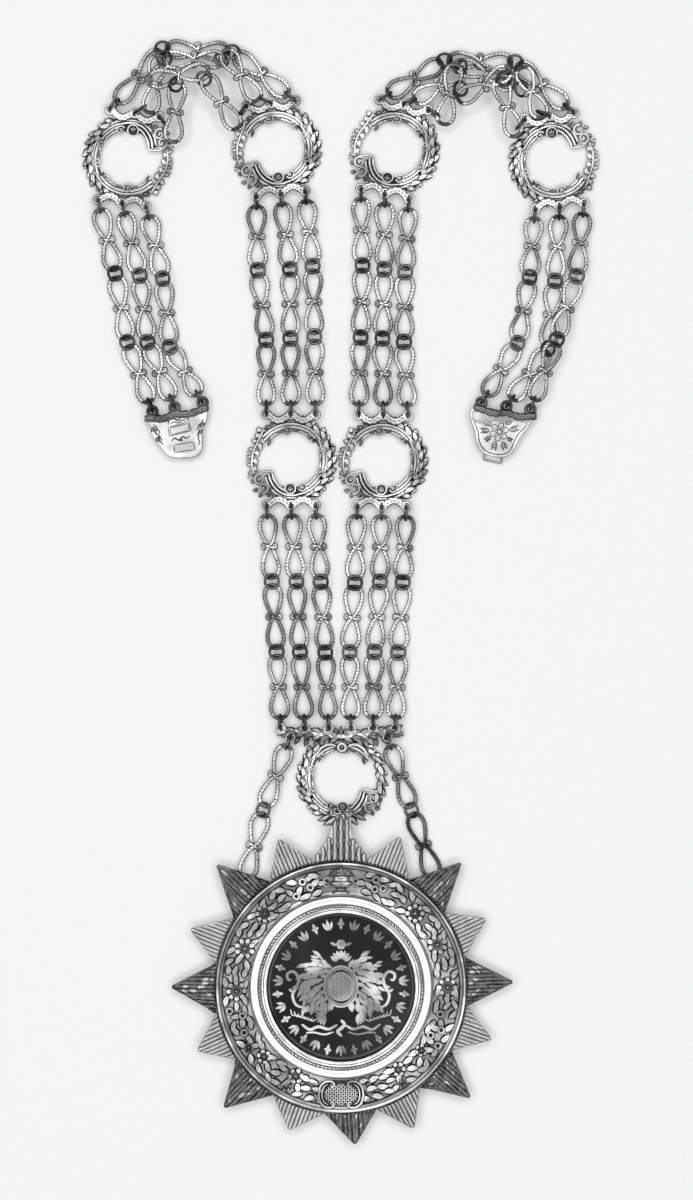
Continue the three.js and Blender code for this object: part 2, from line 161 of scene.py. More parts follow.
class Draft:
    """Closed surfaces in millimetres that end as one mesh."""

    def __init__(self, edge: int = 0) -> None:
        """Starts with nothing; the walls of leaves step up by edge tones, a darker finish that paints shade.
        """
        self.points: list[Array] = []
        self.quads: list[Array] = []
        self.triangles: list[Array] = []
        self.tones: list[Array] = []
        self.cap_tones: list[Array] = []
        self.tone = 0
        self.edge = edge
        self.count = 0

    def _keep(self, points: Array, quads: Array, triangles: Array, tones: Array | None) -> None:
        """Adds one surface, with its faces turned outwards, in one tone or one per quad."""
        a, b, c, d = (points[quads[:, i]] for i in range(4))
        volume = np.einsum("ij,ij->", a, np.cross(b, c)) + np.einsum("ij,ij->", a, np.cross(c, d))
        if len(triangles):
            a, b, c = (points[triangles[:, i]] for i in range(3))
            volume += np.einsum("ij,ij->", a, np.cross(b, c))
        if volume < 0:
            quads, triangles = quads[:, ::-1], triangles[:, ::-1]
        self.points.append(points)
        self.quads.append(quads + self.count)
        self.triangles.append(triangles + self.count)
        self.tones.append(np.full(len(quads), self.tone) if tones is None else tones)
        self.cap_tones.append(np.full(len(triangles), self.tone))
        self.count += len(points)

    def skin(self, rings: Array, closed: bool = False, tones: Array | None = None) -> None:
        """Joins rings of points into a closed surface.

        Args:
            rings: Rings by points by three numbers.
            closed: Whether the last ring meets the first; otherwise both ends are capped.
            tones: The tone of each face, rings by points, where they differ.
        """
        rows, columns = rings.shape[:2]
        index = np.arange(rows * columns).reshape(rows, columns)
        lower, upper = (index, np.roll(index, -1, 0)) if closed else (index[:-1], index[1:])
        quads = np.stack([lower, upper, np.roll(upper, -1, 1), np.roll(lower, -1, 1)], -1).reshape(-1, 4)
        points = rings.reshape(-1, 3)
        triangles = np.zeros((0, 3), int)
        if not closed:
            points = np.vstack([points, rings[0].mean(0), rings[-1].mean(0)])
            first, last = rows * columns, rows * columns + 1
            start, end = index[0], index[-1]
            triangles = np.vstack([
                np.stack([np.full(columns, first), start, np.roll(start, -1)], 1),
                np.stack([np.full(columns, last), np.roll(end, -1), end], 1)])
        shades = None if tones is None else (tones if closed else tones[:-1]).reshape(-1)
        self._keep(points, quads, triangles, shades)

    def tube(self, path: Array, radius: float | Array, sides: int = 8, closed: bool = False,
             flat: float = 1.0, rope: Rope | None = None, dark: Array | None = None) -> None:
        """A round or flattened wire along a path.

        Args:
            path: Points of the centreline.
            radius: The half width, one number or one per point.
            sides: Points round the wire.
            closed: Whether the path is a loop.
            flat: The height as a share of the width.
            rope: The twist, where the wire is roped.
            dark: Which points of the path take the next tone.
        """
        path = np.asarray(path, float)
        ahead = np.roll(path, -1, 0) if closed else np.vstack([path[1:], path[-1:]])
        behind = np.roll(path, 1, 0) if closed else np.vstack([path[:1], path[:-1]])
        tangent = unit(ahead - behind)
        side = unit(np.cross(tangent, UP))
        lift = np.cross(side, tangent)
        theta = np.linspace(0, FULL, sides, endpoint=False)
        width = np.broadcast_to(np.asarray(radius, float).reshape(-1, 1), (len(path), sides)).copy()
        tones = np.full(width.shape, self.tone)
        if dark is not None:
            tones += dark.astype(int)[:, None]
        if rope:
            steps = np.linalg.norm(ahead - path, axis=1)
            along = np.concatenate([[0], np.cumsum(steps)[:-1]])
            turns = steps.sum() / rope.pitch
            turns = round(turns) if closed else turns
            phase = FULL * turns * along / steps.sum()
            ridge = np.abs(np.cos(rope.strands * (theta[None, :] + phase[:, None]) / 2))
            width *= 1 - rope.depth * (1 - ridge)
            # Valleys of the twist take the next tone, a darker finish: painted shade in the grooves.
            tones = np.maximum(tones, self.tone + (ridge < rope.valley))
        rings = (path[:, None] + side[:, None] * (width * np.cos(theta))[..., None]
                 + lift[:, None] * (width * flat * np.sin(theta))[..., None])
        self.skin(rings, closed, tones)

    def ring(self, centre: Point, radius: float, wire: float, step: float = 20.0, sides: int = 8,
             flat: float = 1.0) -> None:
        """A flat-lying ring of wire.

        Args:
            centre: Its middle, x, y and z.
            radius: The radius of its centreline.
            wire: The half width of its wire.
            step: The angle between two points, in degrees.
            sides: Points round the wire.
            flat: The wire's height as a share of its width.
        """
        path = arc(radius, 0, 360 - step, centre[2], step, centre)
        self.tube(path, wire, sides, closed=True, flat=flat)

    def stroke(self, points: Sequence[Point], width: float, sides: int = 8, steps: int = 6,
               ends: float = 0.35, share: float = 0.2, flat: float = 1.0) -> None:
        """A strand through points that thins towards both ends.

        Args:
            points: The points that it passes through.
            width: Its full half width.
            sides: Points round it.
            steps: Steps between two points.
            ends: The width at the very ends, as a share of the full one.
            share: The part of the stroke that each end takes.
            flat: The height as a share of the width.
        """
        path = spline(points, steps)
        self.tube(path, width * taper(len(path), ends, share), sides, flat=flat)

    def slab(self, edge: Array, levels: Sequence[Point]) -> None:
        """A plate: its edge at several levels, at each drawn in to a share of its size.

        Args:
            edge: The outline, with two numbers a row.
            levels: Pairs of share and height, from the underside up.
        """
        middle = edge.mean(0)
        self.skin(np.stack([np.column_stack([middle + (edge - middle) * share, np.full(len(edge), z)])
                            for share, z in levels]))

    def lathe(self, profile: Sequence[Point], centre: Point = (0.0, 0.0, 0.0)) -> None:
        """A closed profile of radius and height, turned round a vertical axis."""
        outline = np.array(profile, float)
        turn = np.linspace(0, FULL, TURNED_SIDES, endpoint=False)[:, None]
        rings = np.stack([outline[:, 0] * np.cos(turn), outline[:, 0] * np.sin(turn),
                          np.broadcast_to(outline[:, 1], (TURNED_SIDES, len(outline)))], -1)
        self.skin(rings + np.array(centre), closed=True)

    def dome(self, profile: Sequence[Point], segments: int = 24,
             centre: Point = (0.0, 0.0, 0.0), wave: Array | None = None) -> None:
        """A profile from its foot up to near the axis, turned and capped.

        Args:
            profile: Pairs of radius and height.
            segments: Points round it.
            centre: Where its axis stands.
            wave: Factors on the radius round it, as for petals.
        """
        turn = np.linspace(0, FULL, segments, endpoint=False)
        factor = np.ones(segments) if wave is None else wave
        rings = np.stack([np.stack([r * factor * np.cos(turn), r * factor * np.sin(turn),
                                    np.full(segments, z)], 1) for r, z in profile])
        self.skin(rings + np.array(centre))

    def ball(self, centre: Point, radius: float, sides: int = 8) -> None:
        """A berry, with a number of sides."""
        lean = np.radians([-80, -45, 0, 30, 60, 82])
        self.dome([(radius * math.cos(a), radius * math.sin(a)) for a in lean], sides, centre)

    def leaf(self, base: Point, tip: Point, width: float, height: float = 0.9, z: float = 1.4,
             bend: float = 0.0, curl: float = 0.0, petal: bool = False) -> None:
        """A pointed leaf with a midrib, or a rounded petal.

        Args:
            base: Where it grows from, x and y.
            tip: Its point, x and y.
            width: Its greatest width.
            height: How far it stands up.
            z: The level of its underside.
            bend: Sideways bow, as a share of its length.
            curl: How much its tip rises.
            petal: Whether its end is round.
        """
        start, end = np.array(base[:2], float), np.array(tip[:2], float)
        along = end - start
        length = np.linalg.norm(along)
        across = np.array([-along[1], along[0]]) / max(length, 1e-6)
        u = np.array([0.0, 0.12, 0.3, 0.5, 0.7, 0.86, 0.97])
        rounded, pointed = (0.45, 0.62, 0.82, 0.98, 1.0, 0.84, 0.4), (0.3, 0.62, 0.95, 1.0, 0.74, 0.4, 0.08)
        half = width / 2 * np.array(rounded if petal else pointed)
        rise = height * np.array([0.5, 0.8, 1.0, 1.0, 0.85, 0.6, 0.35])
        spine = start + u[:, None] * along + (bend * length * 4 * u * (1 - u))[:, None] * across
        v = np.array([-1.0, -0.62, -0.2, 0.0, 0.2, 0.62, 1.0, 0.0])
        top = np.array([0.0, 0.84, 1.0, 0.82, 1.0, 0.84, 0.0, -0.25])
        rings = np.empty((len(u), len(v), 3))
        rings[..., :2] = spine[:, None] + (half[:, None] * v)[..., None] * across
        rings[..., 2] = z + rise[:, None] * top + curl * (u**2)[:, None]
        tones = np.full((len(u), len(v)), self.tone)
        # The walls and underside take the edge tone, a darker finish: painted shade round the leaf's outline.
        tones[:, [0, 5, 6, 7]] += self.edge
        self.skin(rings, tones=tones)

    def leaves(self, table: Sequence[tuple[Point, Point, float]], *make: float) -> None:
        """Leaves of one make, each given by its base, its tip and its width.

        Args:
            table: Base, tip and width of each leaf.
            make: The height, level, bend and curl that they share.
        """
        for base, tip, width in table:
            self.leaf(base, tip, width, *make)

    def scroll(self, centre: Point, radius: float, turns: float, wire: float, start: float = 0.0,
               z: float = 2.0, hand: int = 1) -> None:
        """A volute that winds inwards and rises.

        Args:
            centre: Its eye, x and y.
            radius: Its outer radius.
            turns: How often it winds.
            wire: The half width of its strap.
            start: The angle of its outer end.
            z: Its level at the outer end.
            hand: 1 to wind anticlockwise, -1 clockwise.
        """
        t = np.linspace(0, 1, round(16 * turns) + 2)
        turn = math.radians(start) + hand * FULL * turns * t
        reach = radius * (1 - 0.82 * t)
        path = np.stack([centre[0] + reach * np.cos(turn), centre[1] + reach * np.sin(turn),
                         z + 0.5 * t], 1)
        self.tube(path, wire * (1 - 0.45 * t), 6)
        self.ball((centre[0], centre[1], z + 0.4), wire * 1.2)

    def flower(self, centre: Point, radius: float, petals: int = 8, z: float = 1.4,
               height: float = 1.2, turn: float = 0.0, cup: int = 0) -> None:
        """An open flower: round petals about a sunk cup with a beaded eye.

        Args:
            centre: Its middle, x and y.
            radius: Its outer radius.
            petals: How many petals it has.
            z: The level that it stands on.
            height: Its height.
            turn: Its turn in degrees.
            cup: The tone of its cup.
        """
        x, y = centre[:2]
        for k in range(petals):
            angle = turn + 360 * k / petals
            a, b = polar(angle, 0.34 * radius), polar(angle, radius)
            self.leaf((x + a[0], y + a[1]), (x + b[0], y + b[1]), 1.75 * math.pi * radius / petals,
                      height * 0.62, z + 0.2 * height, curl=0.1 * height, petal=True)
        tone, self.tone = self.tone, cup
        self.dome([(0.5 * radius, z), (0.52 * radius, z + 0.6 * height), (0.46 * radius, z + 0.92 * height),
                   (0.38 * radius, z + 0.9 * height), (0.3 * radius, z + 0.62 * height),
                   (0.05 * radius, z + 0.58 * height)], 20, (x, y, 0))
        self.tone = tone
        self.ball((x, y, z + 0.62 * height), radius * 0.17)
        for k in range(7):
            a = polar(turn + 360 * k / 7, radius * 0.27)
            self.ball((x + a[0], y + a[1], z + 0.62 * height), radius * 0.06, sides=5)

    def add(self, other: "Draft", matrix: Array) -> None:
        """Copies another draft in, placed by a 4 by 4 matrix."""
        flipped = np.linalg.det(matrix[:3, :3]) < 0
        order = slice(None, None, -1) if flipped else slice(None)
        for points, quads, triangles, tones, caps in zip(
                other.points, other.quads, other.triangles, other.tones, other.cap_tones):
            shift = self.count
            first = int(min(quads.min(initial=10**9), triangles.min(initial=10**9)))
            self.points.append(points @ matrix[:3, :3].T + matrix[:3, 3])
            self.quads.append(quads[:, order] - first + shift)
            self.triangles.append(triangles[:, order] - first + shift)
            self.tones.append(np.maximum(tones, self.tone))
            self.cap_tones.append(np.maximum(caps, self.tone))
            self.count += len(points)

    def moved(self, x: float, y: float, turn: float = 0.0) -> "Draft":
        """A copy that is turned by degrees and moved."""
        copy = Draft()
        copy.add(self, placed(x, y, 0, turn))
        return copy

    def build(self, name: str, *finishes: bpy.types.Material) -> bpy.types.Object:
        """Makes the mesh object.

        Args:
            name: The piece's name.
            finishes: Its materials, one for each tone.

        Returns:
            The object, linked into the scene.
        """
        points = np.vstack(self.points) * MM
        quads, triangles = np.vstack(self.quads), np.vstack(self.triangles)
        mesh = bpy.data.meshes.new(name)
        mesh.vertices.add(len(points))
        mesh.vertices.foreach_set("co", points.astype(np.float32).ravel())
        corners = np.concatenate([quads.ravel(), triangles.ravel()])
        mesh.loops.add(len(corners))
        mesh.loops.foreach_set("vertex_index", corners.astype(np.int32))
        starts = np.concatenate([np.arange(len(quads)) * 4, len(quads) * 4 + np.arange(len(triangles)) * 3])
        mesh.polygons.add(len(starts))
        mesh.polygons.foreach_set("loop_start", starts.astype(np.int32))
        mesh.polygons.foreach_set("use_smooth", np.ones(len(starts), bool))
        for finish in finishes:
            mesh.materials.append(finish)
        tones = np.concatenate(self.tones + self.cap_tones)
        mesh.polygons.foreach_set("material_index", tones.astype(np.int32))
        mesh.update(calc_edges=True)
        mesh.validate()
        mesh.set_sharp_from_angle(angle=SMOOTH_ANGLE)
        piece = bpy.data.objects.new(name, mesh)
        bpy.context.scene.collection.objects.link(piece)
        return piece


def placed(x: float = 0.0, y: float = 0.0, z: float = 0.0, turn: float = 0.0,
           scale: Point = (1.0, 1.0, 1.0)) -> Array:
    """A matrix that scales, turns about Z by degrees and moves."""
    return np.array(Matrix.Translation((x, y, z)) @ Matrix.Rotation(math.radians(turn), 4, "Z")
                    @ Matrix.Diagonal((*scale, 1.0)))


# ---- shader maths


def plug(tree: bpy.types.NodeTree, value: Any, socket: bpy.types.NodeSocket) -> None:
    """Links a flow to a socket, or sets the socket to a plain value."""
    if isinstance(value, Flow):
        tree.links.new(value.socket, socket)
    else:
        socket.default_value = value


class Flow:
    """A socket's value, so that shader maths reads as plain arithmetic."""

    def __init__(self, tree: bpy.types.NodeTree, socket: bpy.types.NodeSocket) -> None:
        """Wraps a socket of a node tree."""
        self.tree = tree
        self.socket = socket

    def _math(self, operation: str, *values: "Flow | float") -> "Flow":
        """One Math node on two or three values."""
        node = self.tree.nodes.new("ShaderNodeMath")
        node.operation = operation
        for place, value in enumerate(values):
            plug(self.tree, value, node.inputs[place])
        return Flow(self.tree, node.outputs[0])

    def __add__(self, other: "Flow | float") -> "Flow":
        """This plus other."""
        return self._math("ADD", self, other)

    __radd__ = __add__

    def __mul__(self, other: "Flow | float") -> "Flow":
        """This times other."""
        return self._math("MULTIPLY", self, other)

    __rmul__ = __mul__

    def __sub__(self, other: "Flow | float") -> "Flow":
        """This less other."""
        return self._math("SUBTRACT", self, other)

    def __rsub__(self, other: float) -> "Flow":
        """Other less this."""
        return self._math("SUBTRACT", other, self)

    def clamped(self) -> "Flow":
        """This kept from 0 to 1."""
        return self._math("MINIMUM", self._math("MAXIMUM", self, 0.0), 1.0)


class Nodes:
    """A node tree under construction."""

    def __init__(self, tree: bpy.types.NodeTree, surface: str) -> None:
        """Works on a tree whose main shader is the node named surface."""
        self.tree = tree
        self.surface = tree.nodes[surface]

    def node(self, kind: str, settings: dict[str, Any] | None = None,
             inputs: dict[str | int, Any] | None = None, output: str | int = 0) -> Flow:
        """Adds a node of any type.

        Args:
            kind: The node's type.
            settings: Its own settings.
            inputs: Values or flows for its sockets, by name or number.
            output: The output to hand on.

        Returns:
            That output.
        """
        node = self.tree.nodes.new(kind)
        for key, value in (settings or {}).items():
            setattr(node, key, value)
        for key, value in (inputs or {}).items():
            plug(self.tree, value, node.inputs[key])
        return Flow(self.tree, node.outputs[output])

    def between(self, value: Flow, low: float, high: float) -> Flow:
        """A smooth step from 0 at low to 1 at high."""
        return self.node("ShaderNodeMapRange", {"interpolation_type": "SMOOTHSTEP"},
                         {"Value": value, "From Min": low, "From Max": high})

    def mix(self, share: Flow | float, a: Any, b: Any) -> Flow:
        """Colour a where share is 0 and b where it is 1."""
        colours = [value if isinstance(value, Flow) else (*value, 1.0) for value in (a, b)]
        return self.node("ShaderNodeMix", {"data_type": "RGBA"},
                         {0: share, 6: colours[0], 7: colours[1]}, 2)

    def feed(self, **sockets: Flow | float | tuple) -> None:
        """Links or sets the shader's sockets; an underscore stands for a space."""
        for key, value in sockets.items():
            plug(self.tree, value, self.surface.inputs[key.replace("_", " ")])


class Shader(Nodes):
    """A material under construction."""

    def __init__(self, name: str) -> None:
        """Starts an empty material with one Principled shader."""
        self.material = bpy.data.materials.new(name)
        self.material.use_nodes = True
        super().__init__(self.material.node_tree, "Principled BSDF")

    def place(self) -> Flow:
        """The point of the surface, in metres, in the object's own frame."""
        return self.node("ShaderNodeTexCoord", output="Object")

    def noise(self, scale: float, detail: float = 3.0, rough: float = 0.55,
              seed: float = 0.0) -> Flow:
        """Noise of a given scale, from about 0.25 to 0.75.

        Args:
            scale: Spots per metre.
            detail: Finer octaves.
            rough: How strong they are.
            seed: Moves the pattern.

        Returns:
            The noise.
        """
        moved = self.node("ShaderNodeVectorMath", {"operation": "ADD"},
                          {0: self.place(), 1: (seed, seed * 0.7, seed * 1.3)})
        return self.node("ShaderNodeTexNoise", None,
                         {"Vector": moved, "Scale": scale, "Detail": detail, "Roughness": rough})

    def recess(self, reach: float) -> Flow:
        """1 in the open and 0 deep in a groove, felt over a reach in metres."""
        return self.node("ShaderNodeAmbientOcclusion", {"samples": 6, "only_local": True},
                         {"Distance": reach}, "AO")

    def upward(self) -> Flow:
        """How far the surface faces up: 1 on top, 0 on a wall."""
        normal = self.node("ShaderNodeTexCoord", output="Normal")
        return self.node("ShaderNodeSeparateXYZ", None, {0: normal}, "Z")

    def bump(self, height: Flow, depth: float) -> Flow:
        """The normal of a fine relief, depth metres deep."""
        return self.node("ShaderNodeBump", None,
                         {"Height": height, "Distance": depth, "Strength": 1.0}, "Normal")


def grey(level: float) -> tuple[float, float, float]:
    """A neutral colour."""
    return (level, level, level)


@dataclass(frozen=True)
class SilverFinish:
    """Silver with painted shade in its recesses and down its flanks, and tarnish in random patches."""

    name: str
    bright: float = 0.8
    dull: float = 0.4
    # The colour of the painted shade and of the tarnish.
    shade_and_tarnish: float = 0.03
    reach: float = 0.0012
    open_from: float = 0.35
    open_to: float = 0.85
    flank_from: float = 0.12
    flank_to: float = 0.72
    rough: float = 0.22
    patch_scale: float = 70.0
    scratch: float = 0.00002

    def make(self) -> bpy.types.Material:
        """The material."""
        s = Shader(self.name)
        patch = s.between(s.noise(self.patch_scale, 2.0), 0.38, 0.62)
        fine = s.noise(2200.0, 2.0, seed=0.3)
        cloud = s.noise(500.0, 3.0, seed=0.8)
        # Painted shade: the colour falls towards the shade colour in recesses, found by ambient occlusion,
        # and on walls that face sideways; the cloudy noise adds random tarnish.
        unshaded = s.between(s.recess(self.reach), self.open_from, self.open_to)
        top = s.between(s.upward(), self.flank_from, self.flank_to)
        wear_and_light = (unshaded * top * 1.15 - (cloud - 0.5) * 0.4).clamped()
        metal = s.mix(patch, grey(self.dull), grey(self.bright))
        s.feed(Base_Color=s.mix(wear_and_light, grey(self.shade_and_tarnish), metal), Metallic=1.0,
               Roughness=(self.rough + (1 - wear_and_light) * 0.3 + (fine - 0.5) * 0.12).clamped(),
               Normal=s.bump(fine + cloud * 0.6, self.scratch))
        return s.material


@dataclass(frozen=True)
class RayFinish:
    """Silver darkened by painted shade in the grooves between ribs, with tarnish in random patches."""

    name: str = "ray_silver"
    crest: float = 0.5
    groove: float = 0.06
    patch: float = 0.6
    bias: float = 0.0
    grain: float = 150.0

    def make(self) -> bpy.types.Material:
        """The material."""
        s = Shader(self.name)
        # Painted shade: the grooves fall towards the groove colour, found by ambient occlusion.
        unshaded = s.between(s.recess(0.0011), 0.35, 0.95)
        cloud = s.noise(self.grain, 4.0, 0.65)
        fine = s.noise(3000.0, 2.0, seed=0.5)
        wear_and_light = (unshaded * 0.95 - self.bias + (cloud - 0.5) * self.patch).clamped()
        s.feed(Base_Color=s.mix(wear_and_light, grey(self.groove), grey(self.crest)), Metallic=1.0,
               Roughness=(0.44 - wear_and_light * 0.1 + (fine - 0.5) * 0.2).clamped(),
               Normal=s.bump(fine + cloud, 0.00004))
        return s.material


@dataclass(frozen=True)
class EnamelFinish:
    """Glossy dark enamel with a faint cloudiness."""

    name: str = "dark_enamel"
    sheen: float = 0.3

    def make(self) -> bpy.types.Material:
        """The material."""
        s = Shader(self.name)
        cloud = s.between(s.noise(42.0, 4.0), 0.35, 0.7)
        speck = s.noise(900.0, 2.0, seed=0.4)
        s.feed(Base_Color=s.mix(cloud, grey(0.006), grey(0.028)), Specular_IOR_Level=self.sheen,
               Roughness=(0.12 + cloud * 0.06 + (speck - 0.5) * 0.06).clamped(),
               Normal=s.bump(cloud, 0.00005))
        return s.material


@dataclass(frozen=True)
class EmblemFinish:
    """Pale engraved silver, laid in the enamel."""

    name: str = "emblem_silver"
    pale: float = 0.56
    shade: float = 0.07

    def make(self) -> bpy.types.Material:
        """The material."""
        s = Shader(self.name)
        # Painted shade: the recesses of the engraving fall towards the shade colour, found by ambient
        # occlusion.
        unshaded = s.between(s.recess(0.0009), 0.3, 0.95)
        cloud = s.noise(230.0, 4.0)
        hatch = s.node("ShaderNodeTexWave", {"bands_direction": "DIAGONAL"},
                       {"Vector": s.place(), "Scale": 320.0, "Distortion": 6.0, "Detail": 2.0}, 1)
        wear_and_light = (unshaded - 0.25 * hatch + (cloud - 0.45) * 1.1).clamped()
        centre = s.between(s.noise(60.0, 1.0, seed=0.2), 0.4, 0.62)
        pale = s.mix(centre, grey(self.pale * 0.5), grey(self.pale * 1.6))
        s.feed(Base_Color=s.mix(wear_and_light, grey(self.shade), pale), Metallic=0.0,
               Specular_IOR_Level=0.3, Roughness=(0.5 - wear_and_light * 0.1).clamped(),
               Normal=s.bump(hatch, 0.00003))
        return s.material


@dataclass(frozen=True)
class TableFinish:
    """The plain pale table, with a faint painted glow that lifts the shadows cast on it."""

    name: str = "pale_table"

    def make(self) -> bpy.types.Material:
        """The material."""
        s = Shader(self.name)
        weave = s.noise(400.0, 2.0)
        # The emission is a painted glow: it lightens the shadows that fall on the table.
        s.feed(Base_Color=s.mix(weave, grey(0.715), grey(0.75)), Roughness=0.9,
               Emission_Color=(*grey(0.93), 1.0), Emission_Strength=0.155)
        return s.material


class Slot(Enum):
    """The record's material slots."""

    CHAIN = "chain_silver"
    CAST = "cast_silver"
    CLASP = "clasp_silver"
    RAY = "ray_silver"
    POLISHED = "polished_silver"
    PLAIN = "plain_silver"
    ENAMEL = "dark_enamel"


class Finishes:
    """Every finish, made once."""

    def __init__(self) -> None:
        """Makes the materials."""
        self.chain = SilverFinish("chain_silver", bright=0.78, dull=0.2, patch_scale=46.0,
                                  reach=0.0022, open_from=0.4, open_to=0.92, rough=0.26).make()
        # A near-black silver for the jump rings, also used as painted shade: on link ends under the rings, in
        # the grooves of roped wire, on the walls of leaves, behind openwork and in hollows.
        self.ring = SilverFinish("ring_and_shade_silver", bright=0.15, dull=0.045, patch_scale=90.0,
                                 reach=0.003, open_from=0.4, open_to=0.9, rough=0.3).make()
        self.cast = SilverFinish("cast_silver", bright=0.86, dull=0.4, reach=0.0012, open_from=0.36,
                                 open_to=0.86, flank_from=0.28, flank_to=0.84, rough=0.32).make()
        self.relief = SilverFinish("relief_silver", bright=0.77, dull=0.3, reach=0.0014, open_from=0.36,
                                   open_to=0.88, flank_from=0.25, flank_to=0.84, rough=0.34).make()
        # A darker silver for the sunk ground of the floral frame and for the knots of the links; its wide
        # occlusion reach adds painted shade near the relief.
        self.ground = SilverFinish("ground_silver", bright=0.46, dull=0.2, reach=0.003,
                                   open_from=0.5, open_to=1.0, rough=0.4, patch_scale=90.0).make()
        self.clasp = SilverFinish("clasp_silver", bright=0.9, dull=0.62, patch_scale=120.0,
                                  rough=0.36).make()
        self.engraving = SilverFinish("engraved_line", bright=0.1, dull=0.05, rough=0.5).make()
        self.polished = SilverFinish("polished_silver", bright=0.88, dull=0.78, rough=0.4,
                                     patch_scale=90.0, flank_from=-0.3, flank_to=0.3).make()
        self.plain = SilverFinish("plain_silver", bright=0.5, dull=0.35, rough=0.42).make()
        self.ray = RayFinish(crest=0.47, groove=0.03, patch=1.2, bias=0.1, grain=90.0).make()
        # A darker copy of the ray silver for the long rays: painted shade.
        self.dark_ray = RayFinish("dark_ray_silver", crest=0.18, groove=0.01, patch=1.6, bias=0.25,
                                  grain=420.0).make()
        self.enamel = EnamelFinish().make()
        self.emblem = EmblemFinish().make()
        self.table = TableFinish().make()


def register(piece: bpy.types.Object, slot: Slot, *nodes: str) -> bpy.types.Object:
    """Sets a finished piece on the body.

    Args:
        piece: The piece.
        slot: The piece's material slot; not used.
        nodes: The CAD nodes that it stands for.

    Returns:
        The piece.
    """
    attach(piece, "root")
    if nodes:
        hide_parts(*nodes)
    LOG.info("%s: %d faces", piece.name, len(piece.data.polygons))
    return piece


def centre_of(node: str) -> Array:
    """The middle of a CAD node's box, in millimetres."""
    low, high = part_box(node)
    return np.array((low + high) / 2) / MM


# ---- links and rings


@dataclass
class Link:
    """A figure-eight link of roped wire, knotted at its waist."""

    length: float = 26.8
    wire: float = 0.93
    lobe: float = 2.35
    tie: float = 0.46
    variants: int = 6

    def shape(self, rng: np.random.Generator) -> Draft:
        """One link along Y about the origin, a little irregular."""
        half = self.length / 2 - self.wire
        wide = rng.uniform(0.93, 1.03, 2)
        skew = rng.uniform(-0.3, 0.3)
        loop = [(1.3, 1.35), (2.2, 3.1), (3.1, half - 6.9), (3.62, half - 4.5), (3.45, half - 2.7),
                (2.55, half - 1.0), (1.25, half - 0.15), (0, half)]
        upper = [(x * wide[0] + skew * y / half, y) for x, y in loop]
        lower = [(x * wide[1] - skew * y / half, y) for x, y in loop]
        cross = self.wire * 0.6
        route = ([(0, 0, cross)] + [(x, y, 0.25 if y < 3 else 0.0) for x, y in upper]
                 + [(-x, y, -0.25 if y < 3 else 0.0) for x, y in reversed(upper[:-1])]
                 + [(0, 0, -cross)] + [(x, -y, -0.25 if y < 3 else 0.0) for x, y in lower]
                 + [(-x, -y, 0.25 if y < 3 else 0.0) for x, y in reversed(lower[:-1])])
        path = spline(route, 6, closed=True)
        draft = Draft()
        slim = 0.68 + 0.32 * np.clip(np.abs(path[:, 1]) / 3.5, 0, 1)
        # The ends take the next tone, the near-black ring finish: painted shade where they pass under the
        # jump rings.
        draft.tube(path, self.wire * slim, 12, closed=True, flat=0.78, rope=Rope(2, 2.8, 0.24, 0.34),
                   dark=np.abs(path[:, 1]) > half - 1.0)
        for side in (-1, 1):
            knot = [(0.9, -0.55), (1.3, -0.15), (1.36, 0.2), (1.05, 0.62), (0.6, 0.8), (0.15, 0.62)]
            draft.tone = 2
            draft.dome(knot, 14, (side * self.lobe, -0.12 * side, 0.1),
                       1 + 0.1 * np.abs(np.sin(np.linspace(0, FULL, 14, endpoint=False))))
            draft.tone = 0
        draft.stroke([(-2.5, 0.4, 0.45), (-1.3, 0.38, 0.95), (0, 0, 1.25), (1.3, -0.38, 0.95),
                      (2.5, -0.4, 0.45)], self.tie, 6, 4, 0.7)
        return draft


@dataclass
class JumpRing:
    """A round jump ring."""

    radius: float = 2.95
    wire: float = 0.62

    def shape(self) -> Draft:
        """The ring, lying about the origin."""
        draft = Draft()
        draft.tone = 1
        draft.ring((0, 0, 0), self.radius, self.wire, 15)
        return draft


